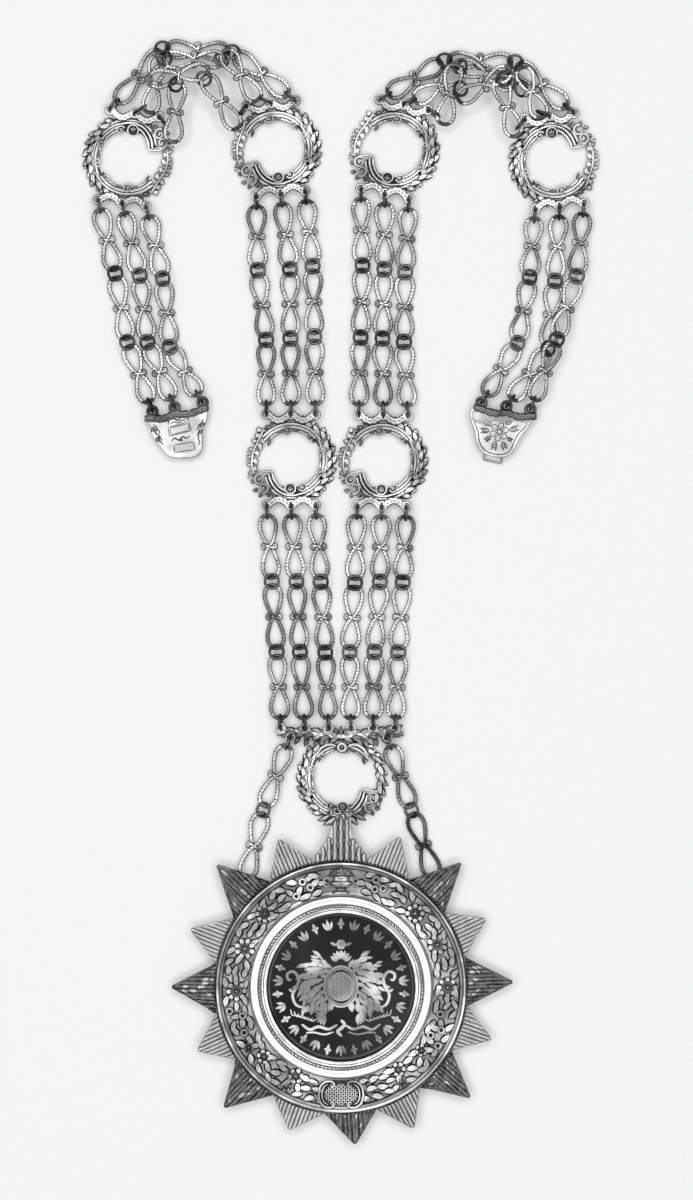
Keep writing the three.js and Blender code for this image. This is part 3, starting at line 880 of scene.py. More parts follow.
@dataclass
class ChainMaker:
    """Joins links and rings into strands."""

    level: float = 1.65
    ring_level: float = 3.1
    ring_roll: float = 15.0
    link_roll: float = 8.0
    standing_height: float = 3.55
    reach: float = 2.75
    taut: float = 1.3
    slack: float = 0.6
    eye_level: float = 2.7

    def __post_init__(self) -> None:
        """Draws the link and ring shapes."""
        rng = np.random.default_rng(17)
        self.link = Link()
        self.links = [self.link.shape(rng) for _ in range(self.link.variants)]
        self.ring = JumpRing().shape()
        self.rng = rng

    def add_link(self, draft: Draft, start: Array, end: Array, roll: float) -> None:
        """Lays a link between two end points.

        Args:
            draft: Where it goes.
            start: One end, x, y and z.
            end: The other end.
            roll: Its roll about its own length, in degrees.
        """
        along = end - start
        length = float(np.linalg.norm(along))
        turn = math.atan2(along[1], along[0]) - math.pi / 2
        pitch = math.asin(along[2] / length)
        matrix = (Matrix.Translation((start + end) / 2) @ Matrix.Rotation(turn, 4, "Z")
                  @ Matrix.Rotation(pitch, 4, "X") @ Matrix.Rotation(math.radians(roll), 4, "Y")
                  @ Matrix.Diagonal((1, length / self.link.length, 1, 1)))
        draft.add(self.links[self.rng.integers(len(self.links))], np.array(matrix))

    def add_ring(self, draft: Draft, centre: Array, heading: float, roll: float) -> None:
        """Lays a ring that is rolled about the chain's heading, both in degrees."""
        matrix = (Matrix.Translation(centre) @ Matrix.Rotation(math.radians(heading), 4, "Z")
                  @ Matrix.Rotation(math.radians(roll), 4, "X"))
        draft.add(self.ring, np.array(matrix))

    def standing(self, draft: Draft, eye: Point, heading: float) -> Array:
        """Hangs a ring on edge in an eye.

        Args:
            draft: Where it goes.
            eye: The eye's x and y.
            heading: The direction that it reaches in, in degrees.

        Returns:
            The ring's centre.
        """
        dx, dy, _ = polar(heading, self.reach)
        centre = np.array([eye[0] + dx, eye[1] + dy, self.standing_height])
        self.add_ring(draft, centre, heading, 90 + self.rng.uniform(-9, 9))
        return centre

    def between_rings(self, a: Array, b: Array) -> tuple[Array, Array]:
        """The ends of the link that hangs between two ring centres."""
        along = b - a
        gap = float(np.linalg.norm(along))
        length = max(min(self.link.length, gap - self.slack), gap - self.taut)
        middle = (a + b) / 2
        half = along / gap * length / 2
        return middle - half, middle + half


@dataclass
class Strand:
    """Three links between two eyes, through two loose rings."""

    name: str
    start: Point
    first: Point
    second: Point
    end: Point
    side: int = 1
    end_level: float = 0.0

    def draw(self, maker: ChainMaker) -> Draft:
        """The strand's links and rings."""
        draft = Draft()
        rings = [np.array([*p, maker.level][:3], float) for p in (self.first, self.second)]
        centres = []
        for eye, ring in ((self.start, rings[0]), (self.end, rings[1])):
            heading = math.degrees(math.atan2(ring[1] - eye[1], ring[0] - eye[0]))
            centre = maker.standing(draft, eye, heading)
            centres.append(np.array([centre[0], centre[1], maker.eye_level]))
        if self.end_level:
            centres[1][2] = self.end_level
        stops = [centres[0], *rings, centres[1]]
        for number, (a, b) in enumerate(zip(stops, stops[1:])):
            direction = 1 if b[1] > a[1] else -1
            roll = -self.side * direction * (maker.link_roll + maker.rng.uniform(-4, 4))
            maker.add_link(draft, *maker.between_rings(a, b), roll * (1 if number else 0.7))
        for ring in rings:
            raised = ring + np.array([0, 0, maker.ring_level - maker.level])
            heading = math.degrees(math.atan2(rings[1][1] - rings[0][1], rings[1][0] - rings[0][0]))
            upward = 1 if rings[1][1] > rings[0][1] else -1
            maker.add_ring(draft, raised, heading,
                           self.side * upward * (maker.ring_roll + maker.rng.uniform(-4, 4)))
        return draft


@dataclass
class LooseStrand:
    """A strand whose links lie askew over their neighbours."""

    name: str
    links: Sequence[tuple[Point, Point]]
    rings: Sequence[Point]
    standing: Sequence[tuple[Point, float]]

    def draw(self, maker: ChainMaker) -> Draft:
        """The strand's links and rings."""
        draft = Draft()
        for start, end in self.links:
            a, b = (np.array([*p, maker.level][:3], float) for p in (start, end))
            maker.add_link(draft, a, b, maker.rng.uniform(-10, 10))
        for ring in self.rings:
            centre = np.array([*ring, maker.level][:3], float)
            maker.add_ring(draft, centre, maker.rng.uniform(0, 360), maker.rng.uniform(18, 34))
        for eye, heading in self.standing:
            maker.standing(draft, eye, heading)
        return draft


# ---- wreaths


@dataclass
class EyeBar:
    """The strap of three eyes across the top or the foot of a wreath."""

    spacing: float = 10.3
    offset: float = 19.0
    strap: float = 1.65
    eye: float = 1.75
    eye_wire: float = 0.62
    level: float = 3.1

    def draw(self, draft: Draft, side: int) -> None:
        """Draws the bar.

        Args:
            draft: Where it goes.
            side: 1 for the swags at the top, -1 for the arches at the foot.
        """
        s, o = self.spacing, self.offset
        roped = Rope(3, 5.4, 0.13, 0.2)
        for middle in (-s / 2, s / 2):
            swag = [(middle - 4.6, o + 0.4), (middle - 3.2, o - 0.9), (middle - 1.6, o - 2.0),
                    (middle, o - 2.4), (middle + 1.6, o - 2.0), (middle + 3.2, o - 0.9),
                    (middle + 4.6, o + 0.4)]
            path = spline([(side * x, side * y, self.level) for x, y in swag], 12)
            draft.tube(path, self.strap * taper(len(path), 0.55), 24, flat=0.5, rope=roped)
        for x in (-s, 0, s):
            self.draw_eye(draft, side * x, side * o)

    def draw_eye(self, draft: Draft, x: float, y: float) -> None:
        """One eye as a round collar."""
        draft.ring((x, y, self.level), self.eye, self.eye_wire)


@dataclass
class WreathCasting:
    """A laurel wreath round a scroll frame that breaks off square on its left."""

    rib: float = 0.78
    full: bool = False

    def draw(self) -> Draft:
        """The casting about the middle of its opening."""
        draft = Draft(edge=1)
        rng = np.random.default_rng(5)
        self._backing(draft)
        self._frame(draft)
        self._scrolls(draft)
        self._corner(draft)
        self._laurel(draft, rng, 66, -64)
        self._sprays(draft, rng)
        if self.full:
            self._laurel(draft, rng, 212, 122)
        else:
            self._stem(draft)
        return draft

    def _backing(self, draft: Draft) -> None:
        """The thin dark backing behind the frame and the leaves: painted shade that shows through the gaps.
        """
        draft.tone = 1
        arcs = ((13.9, 142, 38, 1.8), (15.4, 60, -70, 2.6), (13.6, -58, -118, 2))
        for radius, start, end, half in arcs:
            path = arc(radius, start, end, 0.75)
            draft.tube(path, half * taper(len(path), 0.5, 0.15), 8, flat=0.2)
        skirt = spline([(-9.4, -6, 0.75), (-8, -9.4, 0.75), (-5.2, -12.6, 0.75), (-1, -14.6, 0.75)])
        draft.tube(skirt, 1.9, 8, flat=0.2)
        draft.tone = 0

    def _frame(self, draft: Draft) -> None:
        """The ribs of the scroll frame."""
        ribs = ((12.5, 148, 44, 2, 0.8), (13.75, 146, 38, 2.3, 1), (15.05, 140, 34, 2.2, 0.95),
                (16, 122, 62, 1.7, 0.6),
                (12.6, 20, -22, 1.9, 0.8), (13.8, 24, -26, 2.1, 0.95), (15, 28, -24, 1.9, 0.8),
                (12.5, -30, -62, 2, 0.8), (13.7, -28, -68, 2.2, 0.95), (14.9, -34, -72, 2, 0.85))
        for radius, start, end, z, wide in ribs:
            path = arc(radius, start, end, z)
            draft.tube(path, self.rib * wide * taper(len(path), 0.4, 0.1), 9, flat=0.8)
        sweeps = (((8.4, 12.9), (10.4, 10.6), (12, 7.6), (13, 4.6)),
                  ((-8.1, -5), (-6.9, -8.6), (-4.7, -11.5), (-2.2, -13.2)),
                  ((-9.5, -5.4), (-8.3, -9.3), (-5.8, -12.7), (-2.6, -14.5), (1.6, -14.9), (5, -14)),
                  ((-10.7, -7), (-9.4, -10.7), (-6.6, -13.9), (-3, -15.7), (1.8, -16.1), (6.4, -15),
                   (9.6, -12.8)))
        for number, sweep in enumerate(sweeps):
            draft.stroke([(x, y, 2.1 - 0.15 * number) for x, y in sweep], self.rib * 0.85, 9, 7,
                         0.45, 0.12, flat=0.85)

    def _scrolls(self, draft: Draft) -> None:
        """The volutes at the top, the shell at the foot and the curls on the right."""
        draft.scroll((-1.5, 12.8), 2.1, 1.5, 0.55, 200, 2.5)
        draft.leaf((-3.2, 12.6), (-6.6, 11.4), 1.6, 0.9, 2, 0.1)
        draft.leaf((0.6, 13), (4, 12.2), 1.6, 0.9, 2, -0.1)
        # The shell's dome in the dark finish: painted shade in the shell's core, under the arcs over it.
        draft.tone = 1
        draft.dome([(2, 0.6), (2, 1.5), (1.6, 2), (0.3, 2.1)], 18, (-0.3, -12.1, 0))
        draft.tone = 0
        draft.tube(arc(2.2, 150, 390, 2.2, 15, (-0.3, -12)), 0.5, 8)
        for angle in (215, 270, 325):
            tip = polar(angle, 2)
            draft.leaf((-0.3, -11.8), (-0.3 + tip[0], -12.0 + tip[1]), 0.8, 0.3, 2)
        draft.scroll((4.9, -11.3), 1.9, 1.4, 0.55, 210, 2.2)
        draft.scroll((12.7, 3.4), 1.9, 1.3, 0.55, 120, 2.2, -1)
        draft.scroll((12.2, -4.9), 1.9, 1.4, 0.55, 240, 2.3)
        draft.scroll((8, 9.7), 1.5, 1.2, 0.5, 30, 2.2, -1)
        draft.leaves((((-9.3, 9.3), (-9.6, 5.6), 1.7), ((-8.4, 10.4), (-11.2, 7.2), 1.6),
                      ((8.2, 10.6), (9.6, 6.6), 1.7), ((9.6, 10.4), (11.6, 6.8), 1.8),
                      ((6.4, -12.4), (9.4, -10.4), 1.6), ((11.4, -6.6), (11, -9.8), 1.7),
                      ((12.6, 1.8), (12.4, -2.6), 1.5)), 1.1, 1.7, 0.08)

    def _corner(self, draft: Draft) -> None:
        """The square corner where the frame breaks off, with its curled flower."""
        edge = spline([(-14.6, -6.3, 1.8), (-12.4, -5.2, 2), (-10, -4.8, 2.1), (-7.9, -4.8, 2.1)])
        draft.tube(edge, 0.5, 8)
        draft.scroll((-13.2, -8.4), 2.4, 1.4, 0.75, 70, 1.9)
        draft.scroll((-11.5, -11.7), 2.4, 1.3, 0.75, 250, 1.9)
        draft.leaves((((-14.6, -7), (-16.6, -4.4), 2), ((-15, -9.6), (-17, -8.2), 1.8),
                      ((-13.6, -12.4), (-16.2, -12.6), 1.9), ((-12.4, -13.4), (-13.6, -15.8), 1.8),
                      ((-10.2, -13.4), (-9.4, -15.8), 1.8), ((-9.6, -11.2), (-7.6, -13.4), 1.6)),
                     1.0, 1.3, 0.12, 0.2)

    def _laurel(self, draft: Draft, rng: np.random.Generator, start: float, end: float) -> None:
        """Overlapping laurel leaves along the rim, in three rows.

        Args:
            draft: Where they go.
            rng: Chooses their small differences.
            start: The angle of the last leaf, in degrees.
            end: The angle of the first leaf.
        """
        rows = ((15.6, 19.6, 13, 3.3, 0.9), (16.9, 15.1, 14, 2.8, 1.2), (16.2, 17.9, 16.5, 3, 1.8))
        for row, (foot, tip, sweep, width, z) in enumerate(rows):
            for angle in np.arange(end + 4.6 * row, start, 14):
                a = angle + rng.uniform(-1.2, 1.2)
                b = a + sweep * rng.uniform(0.88, 1.08)
                draft.leaf(polar(a, foot), polar(b, tip + rng.uniform(-0.4, 0.4)),
                           width * rng.uniform(0.9, 1.1), 1, z + rng.uniform(-0.1, 0.15),
                           rng.uniform(-0.05, 0.14), 0.35)
        for angle in np.arange(end + 18, start, 33):
            x, y, _ = polar(angle, 18.3 + rng.uniform(-0.5, 0.6))
            draft.ball((x, y, 2), 0.7)

    def _sprays(self, draft: Draft, rng: np.random.Generator) -> None:
        """Leaves that fill between the frame and the eye bars."""
        for angle in (58, 66, 74, 106, 113, 121, 129, 137, 234, 243, 252, 286, 295, 303, 311):
            a = angle + rng.uniform(-1.5, 1.5)
            draft.leaf(polar(a, 15.4), polar(a + rng.uniform(4, 10), 18.2), 2.1, 1, 1.2,
                       rng.uniform(-0.1, 0.1))

    def _stem(self, draft: Draft) -> None:
        """The thin leafy stem that joins the two ends on the left."""
        draft.stroke([(-11.4, 13.2, 1.5), (-12.6, 10.4, 1.6), (-14.2, 7, 1.6), (-15.9, 3, 1.6),
                      (-16.4, -0.6, 1.6), (-16.2, -3.6, 1.6), (-14.9, -6.8, 1.6)], 0.6, ends=0.8)
        leaves = (((-12.2, 12), (-14.4, 13.8), 1.9), ((-12.8, 10), (-15.4, 11), 1.9),
                  ((-12.6, 10.6), (-10.8, 8.4), 1.7), ((-14, 8), (-16.8, 8.4), 1.9),
                  ((-14.2, 7.4), (-12.6, 3.6), 2.2), ((-15.4, 4.6), (-18.2, 5), 1.8),
                  ((-15.6, 3.8), (-13.4, 1.2), 2), ((-16.2, 1.4), (-18.9, 1.8), 1.7),
                  ((-16.3, 0.6), (-14.2, -2.4), 2.1), ((-16.4, -1.4), (-18.7, -2.2), 1.7),
                  ((-16.2, -2.8), (-14.2, -5.2), 1.9), ((-15.9, -4.2), (-18.2, -6.2), 1.8))
        draft.edge = 0
        for base, tip, width in leaves:
            draft.leaf(base, tip, 1.35 * width, 0.9, 1.3, 0.14, 0.25)
        draft.edge = 1
        for x, y in ((-18.2, 3.4), (-18.5, -0.4), (-17.8, -7.4)):
            draft.ball((x, y, 1.7), 0.55)


@dataclass
class Medallions:
    """The six loose wreaths and how each is turned."""

    turns: tuple[tuple[str, float], ...] = (
        ("wreath_1", 172), ("wreath_2", 6), ("wreath_3", 0), ("wreath_5", -1),
        ("wreath_6", -12), ("wreath_7", 186.5))
    centres: tuple[tuple[float, float], ...] = (
        (-89.2, 181.4), (-27.3, 185.6), (-21, 55), (17.4, 54.6), (22.3, 185.2), (89.5, 180.2))

    def build(self, finishes: Finishes) -> None:
        """Makes each wreath with its two eye bars."""
        casting = WreathCasting().draw()
        bar = EyeBar()
        bar.draw(casting, 1)
        bar.draw(casting, -1)
        for (name, turn), (x, y) in zip(self.turns, self.centres):
            piece = casting.moved(x, y, turn).build(f"{name}_casting", finishes.cast, finishes.ring)
            register(piece, Slot.CAST, name)

    def eye(self, name: str, side: int, column: int) -> tuple[float, float]:
        """Where an eye lies.

        Args:
            name: The wreath.
            side: 1 at the top and -1 at the foot, as the wreath lies on the table.
            column: -1, 0 or 1 from the left.

        Returns:
            Its x and y.
        """
        index = [n for n, _ in self.turns].index(name)
        x, y = self.centres[index]
        tilt = math.radians((self.turns[index][1] + 90) % 180 - 90)
        u, v = column * EyeBar.spacing, side * EyeBar.offset
        return x + u * math.cos(tilt) - v * math.sin(tilt), y + u * math.sin(tilt) + v * math.cos(tilt)


@dataclass
class LowWreath:
    """The lowest wreath, with the leafy bar that gathers the six strands."""

    x: float = 0.4
    y: float = -78.6
    eyes: float = -57.6
    chain_eyes: float = -60.9
    columns: tuple[float, ...] = (-25.2, -15.2, -5.2, 4.2, 13.4, 22.8)
    chain_columns: tuple[float, ...] = (-21.2, 19.4)
    name: str = "wreath_4"

    def build(self, finishes: Finishes) -> None:
        """Makes the wreath and its bar as one casting."""
        draft = Draft(edge=1)
        draft.add(WreathCasting(full=True).draw(), placed(self.x, self.y, 0, 0, (-1, 1, 1)))
        self._garland(draft)
        self._eyelet(draft)
        register(draft.build(f"{self.name}_casting", finishes.cast, finishes.ring), Slot.CAST, self.name)

    def _garland(self, draft: Draft) -> None:
        """The bar: a rod with eyes, covered by two sweeps of laurel."""
        rod = spline([(-26.6, -58.6, 2.6), (-18, -59, 2.8), (-9, -60.2, 2.8), (0, -60.9, 2.8),
                      (9, -60.2, 2.8), (17, -59, 2.8), (25.4, -58.6, 2.6)])
        draft.tube(rod, 1.3, 8, flat=0.6)
        bar = EyeBar()
        for x in self.columns:
            bar.draw_eye(draft, x, self.eyes)
        for x in self.chain_columns:
            bar.draw_eye(draft, x, self.chain_eyes - 0.4)
        rng = np.random.default_rng(11)
        for side in (-1, 1):
            for number, x in enumerate(np.arange(1, 22.5, 3.5)):
                y = -61.4 + 0.11 * x + rng.uniform(-0.3, 0.3)
                for lean in (2.6, -2.2):
                    tip = (x + rng.uniform(4, 5), y + lean * rng.uniform(0.75, 1.15))
                    draft.leaf(*mirrored(side, (x, y), tip), 2.9, 1.2, 2.5, side * rng.uniform(0.02, 0.16),
                               0.3)
                if number % 2:
                    tip = (x + 4.6, y + rng.uniform(-0.6, 0.8))
                    draft.leaf(*mirrored(side, (x, y), tip), 2.2, 1.2, 3.1, 0.0, 0.2)
            for x, y, dx, dy in (
                    (17, -61.6, 2.6, -3), (13.4, -62.2, 2, -3.2), (9.8, -62.8, 1.2, -3),
                    (6.2, -63.2, 3.2, -1.6), (21.6, -59.2, 3.4, 1.8), (22, -60.2, 3.2, -1.2)):
                draft.leaf(*mirrored(side, (x, y), (x + dx, y + dy)), 2.2, 1.1, 2.2, side * 0.1, 0.2)
        for x, lean in ((-1.7, 1.4), (0, 0), (1.7, -1.4)):
            draft.leaf((x, -60.6), (x * 1.5, -56.4 - 0.3 * abs(lean)), 2.1, 1.2, 2.9)

    def _eyelet(self, draft: Draft) -> None:
        """The small ring at the head of the opening and the lobes over the top ray."""
        x, y = self.x, self.y
        draft.ring((x, y + 13.0, 3.2), 1.6, 0.85)
        for side in (-1, 1):
            draft.stroke([(x + side * 2.4, y + 13.6, 2.8), (x + side * 5.6, y + 14.2, 2.7),
                          (x + side * 9.0, y + 12.4, 2.5), (x + side * 11.0, y + 9.0, 2.2)], 0.85, ends=0.5)
        draft.scroll((x - 3.2, y - 14.2), 1.7, 1.3, 0.5, 60, 6.2)
        draft.scroll((x + 2.6, y - 14.6), 1.5, 1.2, 0.5, 120, 6.2, -1)
        for u, v, tip_u, tip_v, width in (
                (-2.6, -15.8, -8.2, -19.4, 2.8), (-4.6, -14.8, -10.6, -17.6, 2.7),
                (2.8, -15.8, 6.6, -19.8, 2.7), (4.6, -15.2, 10.4, -17.8, 2.6),
                (-2, -14.6, -4.4, -12, 1.8), (0.6, -14.2, 0.4, -11.6, 1.7), (2.4, -14.8, 5, -12.4, 1.8),
                (-0.8, -14.8, -1.8, -17.6, 1.6), (1.2, -14.8, 2.2, -17.4, 1.6)):
            high = 5.9 if abs(u) < 2.7 else 4.2
            draft.leaf((x + u, y + v), (x + tip_u, y + tip_v), width, 1.2, high, 0.08, 0.3)


# ---- clasps


@dataclass
class ClaspHalf:
    """One half of the clasp: an engraved plate with three eyes."""

    node: str
    x: float
    y: float
    outline: Sequence[Point]
    eyes: Sequence[Point]
    bottom: float
    top: float
    roll: float = 1.45
    shade: Sequence[Point] = ()
    eye_level: float = 3.3
    eye_radius: float = 1.9
    eye_wire: float = 0.8

    def places(self) -> list[Point]:
        """Where the eyes lie on the table."""
        return [(self.x + x, self.y + y) for x, y in self.eyes]

    def draw_plate(self) -> Draft:
        """The plate with a rounded rim, and its eyes."""
        draft = Draft()
        low, top = self.bottom, self.top
        draft.slab(spline(self.outline, 5, closed=True)[:, :2],
                   ((0.97, low), (1, low + 0.3), (1, top - 0.35), (0.975, top - 0.08), (0.94, top),
                    (0.9, top - 0.12), (0.6, top - 0.06), (0.2, top)))
        if self.shade:
            draft.tone = 2
            draft.slab(spline(self.shade, 5, closed=True)[:, :2],
                       ((1, top - 0.1), (0.99, top + 0.03), (0.5, top + 0.06), (0.1, top + 0.06)))
        # The eyes and the roll take the near-black ring finish: painted shade along the plate's curved top
        # edge.
        draft.tone = 1
        for x, y in self.eyes:
            draft.ring((x, y, self.eye_level), self.eye_radius, self.eye_wire)
        self._roll(draft)
        return draft

    def _roll(self, draft: Draft) -> None:
        """The scalloped roll along the top edge, humped under each eye."""
        route = []
        for number, (x, y) in enumerate(self.eyes):
            if number:
                last = self.eyes[number - 1]
                route.append(((x + last[0]) / 2, (y + last[1]) / 2 - 3.7))
            route.append((x, y - 2.7))
        first, last = np.array(self.eyes[0]), np.array(self.eyes[-1])
        run = unit(last - first)
        route = [tuple(first - 3.4 * run + (0, -2.2)), *route, tuple(last + 2.6 * run + (0, -2.2))]
        path = spline([(x, y, self.top - 0.15) for x, y in route], 14)
        for offset, radius in ((0, self.roll), (-0.8 * self.roll, 0.5 * self.roll)):
            scallop = 1 + 0.14 * np.cos(FULL * 11 * np.linspace(0, 1, len(path)))
            draft.tube(path + (0, offset, 0), radius * scallop * taper(len(path), 0.4, 0.12), 10, flat=0.45)

    def line(self, draft: Draft, points: Sequence[Point], width: float = 0.17) -> None:
        """One engraved line that widens in its middle."""
        draft.stroke([(*p, self.top - 0.02) for p in points], width, 6, 5, 0.4, 0.4, 0.5)

    def sprig(self, draft: Draft, x: float, y: float, heading: float, size: float = 3.4) -> None:
        """An engraved sprig: a stem with paired leaves, turned by heading."""
        turn = math.radians(heading)
        c, s = math.cos(turn), math.sin(turn)

        def at(u: float, v: float) -> tuple[float, float]:
            """The point u along and v beside the stem."""
            return x + size * (u * c - v * s), y + size * (u * s + v * c)

        self.line(draft, [at(0, 0), at(0.4, 0.06), at(0.8, 0)], 0.13)
        for u, reach in ((0.1, 0.42), (0.34, 0.4), (0.58, 0.34)):
            for side in (-1, 1):
                self.line(draft, [at(u, 0.02 * side), at(u + 0.3 * reach, 0.34 * reach * side),
                                  at(u + reach, 0.62 * reach * side)], 0.2)

    def build(self, finishes: Finishes, engraving: Draft) -> None:
        """Makes the plate and its engraving.

        Args:
            finishes: The materials.
            engraving: The engraved lines, about the plate's own middle.
        """
        plate = self.draw_plate().moved(self.x, self.y)
        body = plate.build(f"{self.node}_body", finishes.clasp, finishes.ring, finishes.plain)
        register(body, Slot.CLASP, self.node)
        lines = engraving.moved(self.x, self.y).build(f"{self.node}_engraving", finishes.engraving)
        register(lines, Slot.CLASP)


@dataclass
class Clasps:
    """Both halves of the clasp and the tongue under the right one."""

    tongue_x: float = 64.8
    tongue_y: float = 60.2
    tongue_turn: float = -13.0

    def build(self, finishes: Finishes) -> None:
        """Makes both halves."""
        self.catch().build(finishes, self._catch_engraving())
        self.plate().build(finishes, self._plate_engraving())
        tongue = Draft()
        edge = np.array([[-3.7, -6.25], [3.7, -6.25], [4, -5.9], [4, 5.9], [3.7, 6.25], [-3.7, 6.25],
                         [-4, 5.9], [-4, -5.9]])
        tongue.slab(edge, ((0.97, 0.05), (1, 0.3), (1, 1.35), (0.96, 1.65), (0.3, 1.65)))
        bar = tongue.moved(self.tongue_x, self.tongue_y, self.tongue_turn)
        register(bar.build("clasp_tongue_bar", finishes.plain), Slot.CLASP, "clasp_tongue")

    @staticmethod
    def catch() -> ClaspHalf:
        """The left half, which takes the tongue."""
        outline = [
            (-12.6, 6.4), (-12.2, 4.6), (-10.8, 2.2), (-10.1, -1.2), (-7.4, -5.2), (-5.3, -7.9),
            (-3, -10), (2.7, -10.8), (7.8, -10.1), (10.4, -7.8), (10.9, -3), (10.9, 1.2),
            (12.5, 4.8), (12.9, 9.4), (10.6, 10.4), (0.8, 8.8), (-8, 6.6)]
        eyes = [(-10.1, 8.8), (-0.8, 10.5), (10.9, 12.6)]
        return ClaspHalf("clasp_catch", -68.9, 66.4, outline, eyes, 0, 3.6)

    @staticmethod
    def plate() -> ClaspHalf:
        """The right half, which carries the tongue."""
        outline = [
            (-12.6, 8.6), (-13.1, 5.3), (-12.3, 2.4), (-11.1, -0.8), (-10.7, -4.2), (-9.7, -7.2),
            (-7.1, -10.1), (-1.7, -11.6), (2.5, -11.1), (5, -9.2), (6.3, -6.3), (8, -2.9),
            (10.9, 0.2), (11.8, 2.6), (13.6, 5.2), (13.2, 6.4), (2, 7.8), (-8.5, 9.6)]
        shade = [
            (-11.9, 8.2), (-12.5, 5.2), (-11.7, 3.4), (-7, 2.2), (-2, 3.6), (1.5, 2.4), (6, 3.4),
            (10.8, 2.6), (12.4, 5), (12, 6), (2, 7.6), (-8.4, 9.2)]
        eyes = [(-8.4, 11.3), (2.1, 9.7), (12.2, 8.4)]
        return ClaspHalf("clasp_plate", 67.2, 67.6, outline, eyes, 2, 4.2, shade=shade)

    def _catch_engraving(self) -> Draft:
        """Two framed windows between leaf sprays."""
        half, draft = self.catch(), Draft()
        for window in ([(-2.9, -1.6), (6.2, 0.7), (5.2, 4.5), (-3.6, 2.1)],
                       [(-2.1, -0.9), (5.4, 1), (4.8, 3.7), (-2.7, 1.8)],
                       [(-0.8, -8.4), (7.6, -7.2), (7.1, -3.9), (-1.1, -5.3)]):
            for a, b in zip(window, window[1:] + window[:1]):
                half.line(draft, [a, ((a[0] + b[0]) / 2, (a[1] + b[1]) / 2), b], 0.2)
        strokes = (
            ([(-3.6, 3.2), (-3, 5.2), (-1, 5.8), (0.6, 5), (2.2, 6.6), (4.2, 6.2), (5.2, 5)], 0.34),
            ([(-2.4, 3.4), (-1.2, 4.4), (0.8, 4), (2.6, 5.2), (4, 5)], 0.24),
            ([(-2.2, -3.8), (-0.8, -2.4), (1, -3.2), (2.6, -1.8), (4.2, -2.4), (5.8, -1.4)], 0.34),
            ([(1.4, -3.8), (1.8, -2.8), (2.4, -3.8)], 0.4),
            ([(-9.8, 3.4), (-8.2, 1.8), (-8.8, -0.2), (-7, -1.6), (-7.2, -3.4), (-5.4, -5.2)], 0.3),
            ([(-9.2, 1.4), (-7.4, 0.8), (-7.2, -0.6)], 0.26),
            ([(-8.4, -1.8), (-6.6, -2.4), (-6.2, -3.8)], 0.26),
            ([(8.8, 3), (10.4, 3.8), (11.2, 5.6)], 0.34),
            ([(8.4, 1), (9.6, 2.6), (10.4, 1.8)], 0.3),
            ([(9.4, -2.6), (9, -0.6), (10, 0.8)], 0.3),
            ([(9.2, -5.6), (9.6, -3.8), (8.8, -2.4)], 0.24))
        for points, width in strokes:
            half.line(draft, points, width)
        for x, y, heading in ((-9.6, 2.6, -100), (-8.2, -1.6, -80), (9.4, -1, 70), (9.8, 2.4, 50)):
            half.sprig(draft, x, y, heading, 3)
        return draft

    def _plate_engraving(self) -> Draft:
        """A flower between leaf sprays, with a line round the plate."""
        half, draft = self.plate(), Draft()
        for k in range(6):
            middle = 60 * k + 15
            for side in (-1, 1):
                petal = [polar(middle, 1), polar(middle + 24 * side, 2.4), polar(middle + 15 * side, 3.6),
                         polar(middle, 3.9)]
                half.line(draft, [(x - 0.9, y - 1.0) for x, y, _ in petal], 0.2)
            a, b = polar(middle, 1.2), polar(middle, 2.6)
            half.line(draft, [(a[0] - 0.9, a[1] - 1.0), (b[0] - 0.9, b[1] - 1.0)], 0.15)
        draft.ring((-0.9, -1, half.top), 0.9, 0.2, sides=6, flat=0.5)
        for heading, size in ((8, 5), (44, 4.4), (140, 5.2), (172, 4.6), (208, 3.6), (248, 4.6), (285, 4.6),
                              (322, 3.2)):
            x, y, _ = polar(heading, 3.9)
            half.sprig(draft, x - 0.9, y - 1.0, heading + 8, size)
        half.line(draft, [(-11.9, 5.4), (-11, 2.4), (-9.8, -1), (-9.4, -4.2), (-8.2, -7.2), (-5.8, -9.4),
                          (-1.6, -10.4), (1.9, -9.9), (3.8, -8.4), (5, -5.8), (6.8, -2.2), (9.8, 0.8),
                          (10.6, 2.6)], 0.22)
        for x in (-4.8, 5.6):
            oval = arc(1, 0, 340, half.top + 0.1, 20, (0, 0)) * (2.3, 0.9, 1) + (x, 6.9 - 0.16 * x, 0)
            draft.tube(oval, 0.24, 6, closed=True, flat=0.6)
        for side, x in ((-1, -1.6), (1, 0.6)):
            for k in range(3):
                half.line(draft, [(x, 3.4 + 0.6 * k), (x + side * (2.6 + k), 4.4 + 0.4 * k),
                                  (x + side * (4.4 + k), 3.4 + 0.5 * k)], 0.18)
        return draft


# ---- badge


@dataclass(frozen=True)
class Ray:
    """One ray of the star: where it points, how far, and whether it is a long one."""

    angle: float
    reach: float
    long: bool


